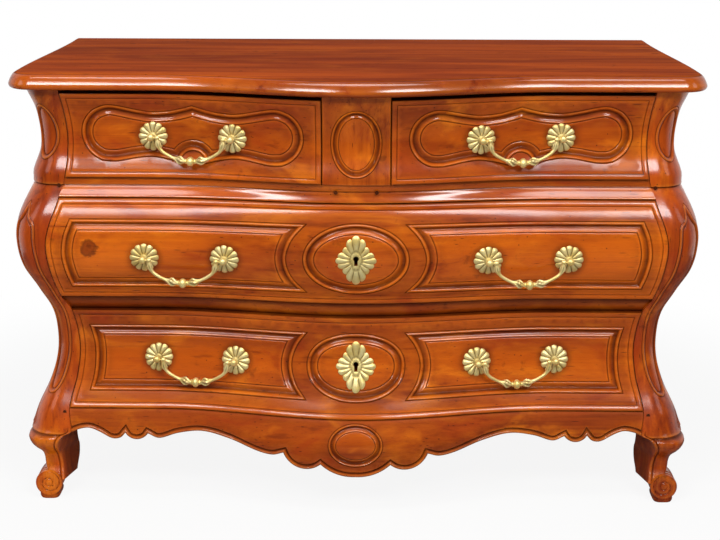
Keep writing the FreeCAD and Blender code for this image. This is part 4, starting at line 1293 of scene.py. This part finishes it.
def makeScroll():
    f = scrollForm
    (cx, cz), spokes = f["centre"], f["spokes"]
    front = form["frontInset"] - float(halfWidth(cz))
    points, masks = [], []

    def add(r, degrees, y, grimeAndShade, wearAndHighlight):
        points.append((cx + r * math.cos(math.radians(degrees)), y, cz + r * math.sin(math.radians(degrees))))
        masks.append((grimeAndShade, wearAndHighlight))

    turns = [360 * k / spokes for k in range(spokes)]
    for r in [f["radius"] * share for share in f["shares"]]:
        for a in turns:
            height, *marks = scrollRelief(r, (a - f["turnStart"]) % 360)
            add(r, a, front + f["relief"] - height, *marks)
    for back, inset in f["rim"]:
        grimeAndShade = 0.85 if 1.4 < inset and 5 < back < 40 else 0.05
        wearAndHighlight = 0.5 if inset < 0.35 and back < 30 else 0.0
        for a in turns:
            add(f["radius"] - inset, a, front + back, grimeAndShade, wearAndHighlight)
    rings = len(f["shares"]) + len(f["rim"])
    rear = tuple(range((rings - 1) * spokes, rings * spokes))[::-1]
    pad, padMasks, padFaces = makePad(cx, front, float(postDepth(cz)) / 2, len(points))
    return points + pad, [*sweptFaces(rings, spokes), rear, *padFaces], masks + padMasks


def makePad(cx, front, half, start):
    f = scrollForm
    (acrossPower, deepPower), spokes = f["padCorners"], f["padSpokes"]
    points, masks = [], []
    for z, width in f["pad"]:
        deep = half - 1 - (f["padWidest"] - width) * 0.5
        for a in [2 * math.pi * k / spokes for k in range(spokes)]:
            c, s = math.cos(a), math.sin(a)
            points.append((cx + width * math.copysign(abs(c) ** acrossPower, c),
                           front + half + deep * math.copysign(abs(s) ** deepPower, s), z))
            masks.append((0.8 if z > 9 else 0.35, 0.0))
    return points, masks, tubeFaces(len(f["pad"]), spokes, start, flip=True)


def makePosts():
    shells = [makePost(), makeLeg(), makeScroll()]
    for name, side in (("right", 1), ("left", -1)):
        post = Assembly()
        for points, faces, masks in shells:
            post.add(np.asarray(points) * (side, 1, 1), [face[::side] for face in faces], masks)
        post.piece("post_" + name, "carcass", "polished_wood", wood["upright"], ["front_post_" + name],
                   34.0)


makePosts()
print("posts and feet carved")


# top board

topForm = {
    # inset, height, grime and painted shade, wear and painted highlight, from the edge of the underside up
    # over the nose
    "nose": [(8.0, 811.0, 0.2, 0), (4.4, 811.9, 0.1, 0), (1.9, 813.8, 0.0, 0.1), (0.4, 816.6, 0.0, 0.25),
             (0.0, 819.4, 0.0, 0.4), (0.9, 822.2, 0.0, 0.45), (2.0, 825.0, 0.0, 0.4), (3.2, 827.8, 0.0, 0.3),
             (4.6, 830.6, 0.0, 0.25), (6.4, 833.6, 0.0, 0.2), (8.4, 836.2, 0.0, 0.2),
             (10.4, 838.2, 0.1, 0.1), (12.2, 838.9, 0.65, 0), (13.1, 838.8, 0.8, 0), (14.0, 839.7, 0.1, 0.3),
             (15.8, 840.0, 0.0, 0.1)],
    "backWeight": 0.12,         # share of the nose along the back edge
}


def topOutline():
    f = form
    flat = -(f["topFront"] - f["topBow"])
    radius, half = f["topCornerRadius"], f["topHalfWidth"]
    reach = half - radius
    x = np.linspace(-reach, reach, 150)
    bow = np.stack([x, flat - f["topBow"] * bowShare(x)], 1)
    t = np.linspace(0, 1, 30)
    start = flat + radius
    side = np.stack([half - f["sideTaper"] * t * t * (3 - 2 * t), start + t * (f["topBack"] - start)], 1)
    corner = bent((reach, start), radius, -90, 0, 4)
    back = drawn([side[-1], side[-1] * mirror], 12)
    return [bow, corner, side, back, turned(side), turned(corner)]


def makeTop():
    # seen from above the outline runs anticlockwise, so its left is inwards
    nose = topForm["nose"]
    weights = [1, 1, 1, topForm["backWeight"], 1, 1]
    board = Carving(lambda x, y, z: np.stack([x, y, z], 1))
    under, upper = board.rings(topOutline(), nose, weights)
    board.fill(upper, spacing=22.0, depth=nose[-1][1])
    # painted shade on the underside of the top
    board.fill(under, spacing=60.0, depth=nose[0][1], flip=True, grimeAndShade=0.3)
    places, masks = board.placed()
    makePiece("bullnoseTop", places, board.faces, "carcass", wood["top"], ["top_board"], masks,
              40.0)


makeTop()
print("top made")


# brass fittings

class Grip:
    # frame of one handle: its pivot line runs along the chord of the curved front
    def __init__(self, x, z):
        half = fittings["spacing"] / 2
        ends = np.array([x - half, x + half], float)
        y = frontAt(ends, np.array([z, z], float)) - form["drawerProud"]
        surface = np.stack([ends, y, (z, z)], 1)
        chord = surface[1] - surface[0]
        self.along = chord / np.linalg.norm(chord)
        self.out = np.array([self.along[1], -self.along[0], 0.0])
        middle = surface.mean(0)
        self.pivot = middle + self.out * fittings["standOff"]
        self.ends = [middle - self.along * half, middle + self.along * half]

    def point(self, along, out, up):
        return self.pivot + self.along * along + self.out * out + np.array([0, 0, up])


def roundRing(spokes):
    angle = np.linspace(0, 2 * np.pi, spokes, endpoint=False)
    return np.cos(angle), np.sin(angle)


def petals(angle, count, pointed):
    # 0 in the notch between two petals, 1 on a petal's middle
    return np.abs(np.cos(angle * count / 2)) ** pointed


rosette = {
    "spokes": 120, "hub": 4.6, "seated": -0.4,
    "notch": 0.14,              # depth of the notches between petals, as a share of the radius
    "edge": 1.2, "crown": 0.62, "ridge": 2.3,
    "rimStart": 0.86, "rimFall": 0.62,
    "rings": (0.0, 0.04, 0.1, 0.18, 0.27, 0.37, 0.48, 0.59, 0.70, 0.79, 0.87, 0.93, 0.97, 1.0),
}


def rosetteRelief(grip, end):
    # rings from the hub out to the petals' tips, with a wall down to the wood at both; the plate
    # lies on the curved wood, and its relief stands along the handle's own direction
    f, spokes, hub = fittings, rosette["spokes"], rosette["hub"]
    c, s = roundRing(spokes)
    angle = np.arctan2(s, c)
    petal = petals(angle, f["petals"], 0.8)
    notch = rosette["notch"]
    reach = f["rosetteRadius"] * (1 - notch + notch * petals(angle, f["petals"], 0.45))
    points, masks = [], []

    def add(r, height, mask):
        places = end + np.outer(r * c, grip.along) + np.outer(r * s, (0, 0, 1.0))
        places[:, 1] = frontAt(places[:, 0], places[:, 2]) - form["drawerProud"]
        points.append(places + np.outer(height, grip.out))
        masks.append(mask)

    for share in rosette["rings"]:
        dome = f["rosetteDome"] * (0.25 + 0.75 * np.sin(np.pi * min(share * 0.82 + 0.16, 1.0)))
        ridge = rosette["ridge"] * (petal - 0.45) * np.sin(np.pi * np.clip(share * 0.92 + 0.08, 0, 1)) ** 0.6
        rim = max(0.0, (share - rosette["rimStart"]) / (1 - rosette["rimStart"])) ** 2
        height = (rosette["edge"] + dome * rosette["crown"] + ridge) * (1 - rosette["rimFall"] * rim)
        darkening = np.clip((1 - petal) ** 2.2 * 1.05 + 0.5 * max(0.0, 0.12 - share) / 0.12, 0, 1)
        add(hub + (reach - hub) * share, height,
            np.stack([darkening, np.clip(height / 5 - 0.3, 0, 1) * 0.6], 1))
    for r in (reach, hub):
        add(r, np.full(spokes, rosette["seated"]), np.tile((0.9, 0.0), (spokes, 1)))
    faces = sweptFaces(len(points), spokes, around=True)
    return np.concatenate(points), faces, np.concatenate(masks)


def turnedAlong(profile, origin, axis, spokes=28):
    # surface of revolution of (distance, radius) points, capped at both ends
    axis = axis / np.linalg.norm(axis)
    side = np.cross(axis, (0, 0, 1.0))
    side /= np.linalg.norm(side)
    other = np.cross(axis, side)
    c, s = roundRing(spokes)
    points = [origin + axis * a + np.outer(c * r, side) + np.outer(s * r, other) for a, r in profile]
    return np.concatenate(points), tubeFaces(len(profile), spokes, flip=True)


def bailPath(count):
    # points and directions of the drooping bar, in (along, up) from the pivot line
    f = fittings
    shoulder = f["spacing"] / 2 - f["shoulderInset"]
    neck, turn = f["neck"], math.radians(f["turn"])
    c, s = math.cos(turn), math.sin(turn)
    fall = f["drop"] - neck
    flat = (shoulder * s - fall * (1 - c)) / (c * s - (1 - c) * (1 - s))
    bend = (fall - flat * (1 - s)) / s
    bendStart, flatStart = neck, neck + bend * turn
    half = neck + bend * turn + flat * (math.pi / 2 - turn)
    found = []
    for d in np.linspace(-half, half, count):
        t = half - abs(d)
        if t <= bendStart:
            u, v = shoulder, -t
        elif t <= flatStart:
            a = (t - bendStart) / bend
            u, v = shoulder - bend * (1 - math.cos(a)), -neck - bend * math.sin(a)
        else:
            a = turn + (t - flatStart) / flat
            u, v = flat * math.cos(a), flat - f["drop"] - flat * math.sin(a)
        found.append((math.copysign(u, -d) if d else 0.0, v, d))
    return np.array(found)[::-1], half


bailForm = {
    "sections": 141, "spokes": 20,
    # place (0 at the middle, 1 at the pivots), length, swelling, flutes, their depth
    "leaf": (0.235, 0.105, 1.85, 5, 0.20),
    "top": (0.86, 0.085, 0.95, 6, 0.15),
    "leafEnd": 0.07, "twist": 30.0, "flattening": 0.22,
    "ballSpokes": 24, "collarAt": 8.4, "collarRise": 0.5,
    "collar": [(-1.6, 3.4), (-1.2, 4.6), (0, 5.0), (1.2, 4.6), (1.6, 3.4)],
    "eye": [(-3.6, 1.2), (-3.2, 3.2), (-1.6, 4.4), (2.0, 4.5), (3.6, 4.0), (4.8, 3.0), (5.2, 1.45),
            (16.0, 1.45), (16.2, 1.0)],
}


def makeBail(name, grip):
    f, b = fittings, bailForm
    path, half = bailPath(b["sections"])
    tangent = units(np.gradient(path[:, :2], axis=0))
    c, s = roundRing(b["spokes"])
    around = np.arctan2(s, c)
    swell = lambda gone, key: math.exp(-((gone - b[key][0]) / b[key][1]) ** 2)
    points, masks = [], []
    for (u, v, d), (tangentU, tangentV) in zip(path, tangent):
        gone = abs(d) / half                    # 0 at the middle, 1 at the pivots
        leaf = swell(gone, "leaf") if gone > b["leafEnd"] else 0.0
        top = swell(gone, "top")
        r = f["barRadius"] * (0.78 + 0.22 * math.exp(-((gone - 0.62) / 0.25) ** 2))
        r *= 1 + b["leaf"][2] * leaf + b["top"][2] * top
        twist = b["twist"] * (gone - b["leaf"][0]) * (1 if d > 0 else -1)
        flute = leaf * b["leaf"][4] * np.cos(b["leaf"][3] * around + twist)
        flute = flute + top * b["top"][4] * np.cos(b["top"][3] * around)
        flat = 1 - b["flattening"] * top
        points += [grip.point(u - tangentV * x * q, y * q * flat, v + tangentU * x * q)
                   for x, y, q in zip(c, s, r * (1 + flute))]
        masks.append(np.stack([np.clip(-flute * 5.5, 0, 1), np.clip(flute * 3, 0, 0.6) + 0.15], 1))
    bail = Assembly()
    bail.add(points, tubeFaces(len(path), b["spokes"], flip=True), np.concatenate(masks))
    radius, length = f["ball"]
    ball = [(length * math.sin(math.radians(a)), radius * math.cos(math.radians(a)))
            for a in np.linspace(-86, 86, 15)]
    bail.add(*turnedAlong(ball, grip.point(0, 0, -f["drop"]), grip.along, b["ballSpokes"]))
    for side in (-1, 1):
        collar = grip.point(side * b["collarAt"], 0, b["collarRise"] - f["drop"])
        bail.add(*turnedAlong(b["collar"], collar, grip.along, b["ballSpokes"]))
        shoulder = grip.point(side * (f["spacing"] / 2 - f["shoulderInset"]), 0, 0)
        bail.add(*turnedAlong(b["eye"], shoulder, grip.along * side, b["spokes"]))
    bail.piece("bail_cast_" + name, "bail_" + name, "aged_brass", metal["brass"], ["bail_" + name])


def wallBehind(grip, end, inner, step=0.5):
    # how far the drawer front's inner face lies behind the foot of this post
    flat, bow = inner
    for k in range(200):
        place = end - grip.out * k * step
        if place[1] >= -(flat + bow * float(bowShare(place[0]))):
            return k * step


knobGrime = [0.2, 0.6, 0.7, 0.5, 0.4, 0.25, 0.2, 0.3, 0.3] + [0.0] * 7


def makeFittings(drawer):
    plates, posts = Assembly(), Assembly()
    shank, (radius, thick) = fittings["shank"], fittings["nut"]
    nut = [(-thick / 2 - 1, radius - 1.2), (-thick / 2, radius), (thick / 2, radius),
           (thick / 2 + 1, radius - 1.2)]
    for name in fittings["gripsOf"][drawer]:
        grip = Grip(*fittings["spots"][name])
        for end in grip.ends:
            plates.add(*rosetteRelief(grip, end))
            depth = wallBehind(grip, end, drawerFronts[drawer]["inner"])
            knob = [(-depth - 7, shank), (0.6, shank), *fittings["knob"]]
            points, faces = turnedAlong(knob, end, grip.out)
            grimeAndShade = np.repeat(knobGrime, len(points) // len(knob))
            posts.add(points, faces, np.stack([grimeAndShade, grimeAndShade * 0], 1))
            posts.add(*turnedAlong(nut, end - grip.out * (depth + thick / 2 - 1.0), grip.out, 6))
        makeBail(name, grip)
    for parts, name, node in ((plates, "rosettes_cast_", "rosettes_"), (posts, "knobs_", "bail_posts_")):
        parts.piece(name + drawer, "drawer_" + drawer, "aged_brass", metal["brass"], [node + drawer])


for drawer in fittings["gripsOf"]:
    makeFittings(drawer)
print("handles made")


# keyhole plates

keyPlate = {
    "half": (38.0, 48.5),
    "lobes": 16,
    "spokes": 192,
    "rings": (0.0, 0.03, 0.08, 0.15, 0.22, 0.28, 0.34, 0.42, 0.5, 0.58, 0.66, 0.74, 0.82, 0.89, 0.95, 1.0),
    "leafStart": 0.24,          # share of the way out where the leaves begin
    "outline": (0.66, 0.21, 0.13),      # body, the four fuller leaves and the lobes, as shares
    # height, place and width of the bead round the keyhole and of the quirk outside it
    "bead": (1.3, 0.10, 0.09), "quirk": (0.7, 0.25, 0.05),
    "base": 1.4, "rib": 2.1, "fuller": 0.9, "limits": (0.5, 4.4),
}


def keyholeReach(z, angle):
    # distance to the keyhole's edge from a point inside it
    hole = keyholeRing(z)
    dense = evenly(np.concatenate([hole, hole[:1]]), 900)[:-1] - (0.0, z)
    turn = np.arctan2(dense[:, 1], dense[:, 0])
    order = np.argsort(turn)
    return np.interp((angle + np.pi) % (2 * np.pi) - np.pi, turn[order], lengths(dense)[order],
                     period=2 * np.pi)


def escutcheonRelief(z):
    (a, b), count, spokes = [keyPlate[key] for key in ("half", "lobes", "spokes")]
    angle = np.linspace(0, 2 * np.pi, spokes, endpoint=False)
    inner = keyholeReach(z, angle) + 0.05
    four = np.cos(4 * angle) * 0.5 + 0.5                     # fuller leaves up, down and to the sides
    reach = 1 / np.sqrt((np.cos(angle) / a) ** 2 + (np.sin(angle) / b) ** 2)
    body, fuller, lobes = keyPlate["outline"]
    outer = reach * (body + fuller * four + lobes * petals(angle, count, 0.5))
    petal = petals(angle, count, 0.8)
    points, masks = [], []

    def add(r, rise, mask):
        x, height = r * np.cos(angle), z + r * np.sin(angle)
        points.append(np.stack([x, frontAt(x, height) - form["drawerProud"] - rise, height], 1))
        masks.append(mask)

    for share in keyPlate["rings"]:
        out = max(share - keyPlate["leafStart"], 0.0) / (1 - keyPlate["leafStart"])
        rib = np.sin(np.pi * out) ** 0.6
        bead, quirk = [high * math.exp(-((share - place) / width) ** 2) for high, place, width in
                       (keyPlate["bead"], keyPlate["quirk"])]
        rise = keyPlate["base"] + bead - quirk
        rise = rise + rib * (keyPlate["rib"] * (petal - 0.35)) + keyPlate["fuller"] * rib * four
        rise = np.clip(rise * (1 - 0.5 * max(0.0, (share - 0.85) / 0.15) ** 2), *keyPlate["limits"])
        groove = (1 - petal) ** 2 * rib + quirk + (share < 0.02) * 0.8
        add(inner + (outer - inner) * share, rise,
            np.stack([np.clip(groove, 0, 1) * np.ones(spokes), np.clip(petal * rib, 0, 1) * 0.5], 1))
    for r, sunk in ((outer, 0.3), (inner, fieldDepth + 0.2)):
        add(r, -sunk, np.tile((0.9, 0.0), (spokes, 1)))
    faces = sweptFaces(len(points), spokes, around=True)
    return np.concatenate(points), faces, np.concatenate(masks)


for drawer in ("middle", "lower"):
    cast = Assembly()
    cast.add(*escutcheonRelief(drawerFronts[drawer]["keyhole"]))
    cast.piece("keyplate_" + drawer, "drawer_" + drawer, "aged_brass", metal["brass"],
               ["escutcheon_" + drawer])
print("keyhole plates made")


# solids that stay as they are: the start of a solid's name, and its finish

solidFinishes = {
    "top_board": wood["top"], "frame_pegs": wood["peg"],
    "front_post": wood["upright"], "rear_post": wood["rear"], "centre_stile": wood["upright"],
    "side_panel": wood["side"], "side_apron": wood["deepwise"],
    "back_muntin": wood["insideUpright"], "back_panels": wood["insideUpright"],
    "lock_": metal["iron"], "bail_": metal["brass"], "rosettes_": metal["brass"],
    "escutcheon_": metal["brass"],
    **dict.fromkeys(("front_top_rail", "bottom_board", "back_top_rail", "back_bottom_rail", "drawer_back"),
                    wood["inside"]),
    **dict.fromkeys(("drawer_sides", "drawer_bottom", "drawer_guides", "upper_runners", "middle_runners",
                     "lower_runners"), wood["insideDeep"]),
}


def dressSolids():
    for name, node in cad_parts.items():
        if node.hide_render:
            continue
        chosen = next((made for start, made in solidFinishes.items() if name.startswith(start)),
                      wood["across"])
        node.data.materials.clear()
        node.data.materials.append(chosen)
        node.data.shade_smooth()
        node.data.set_sharp_from_angle(angle=math.radians(32))


dressSolids()
print("remaining solids dressed")
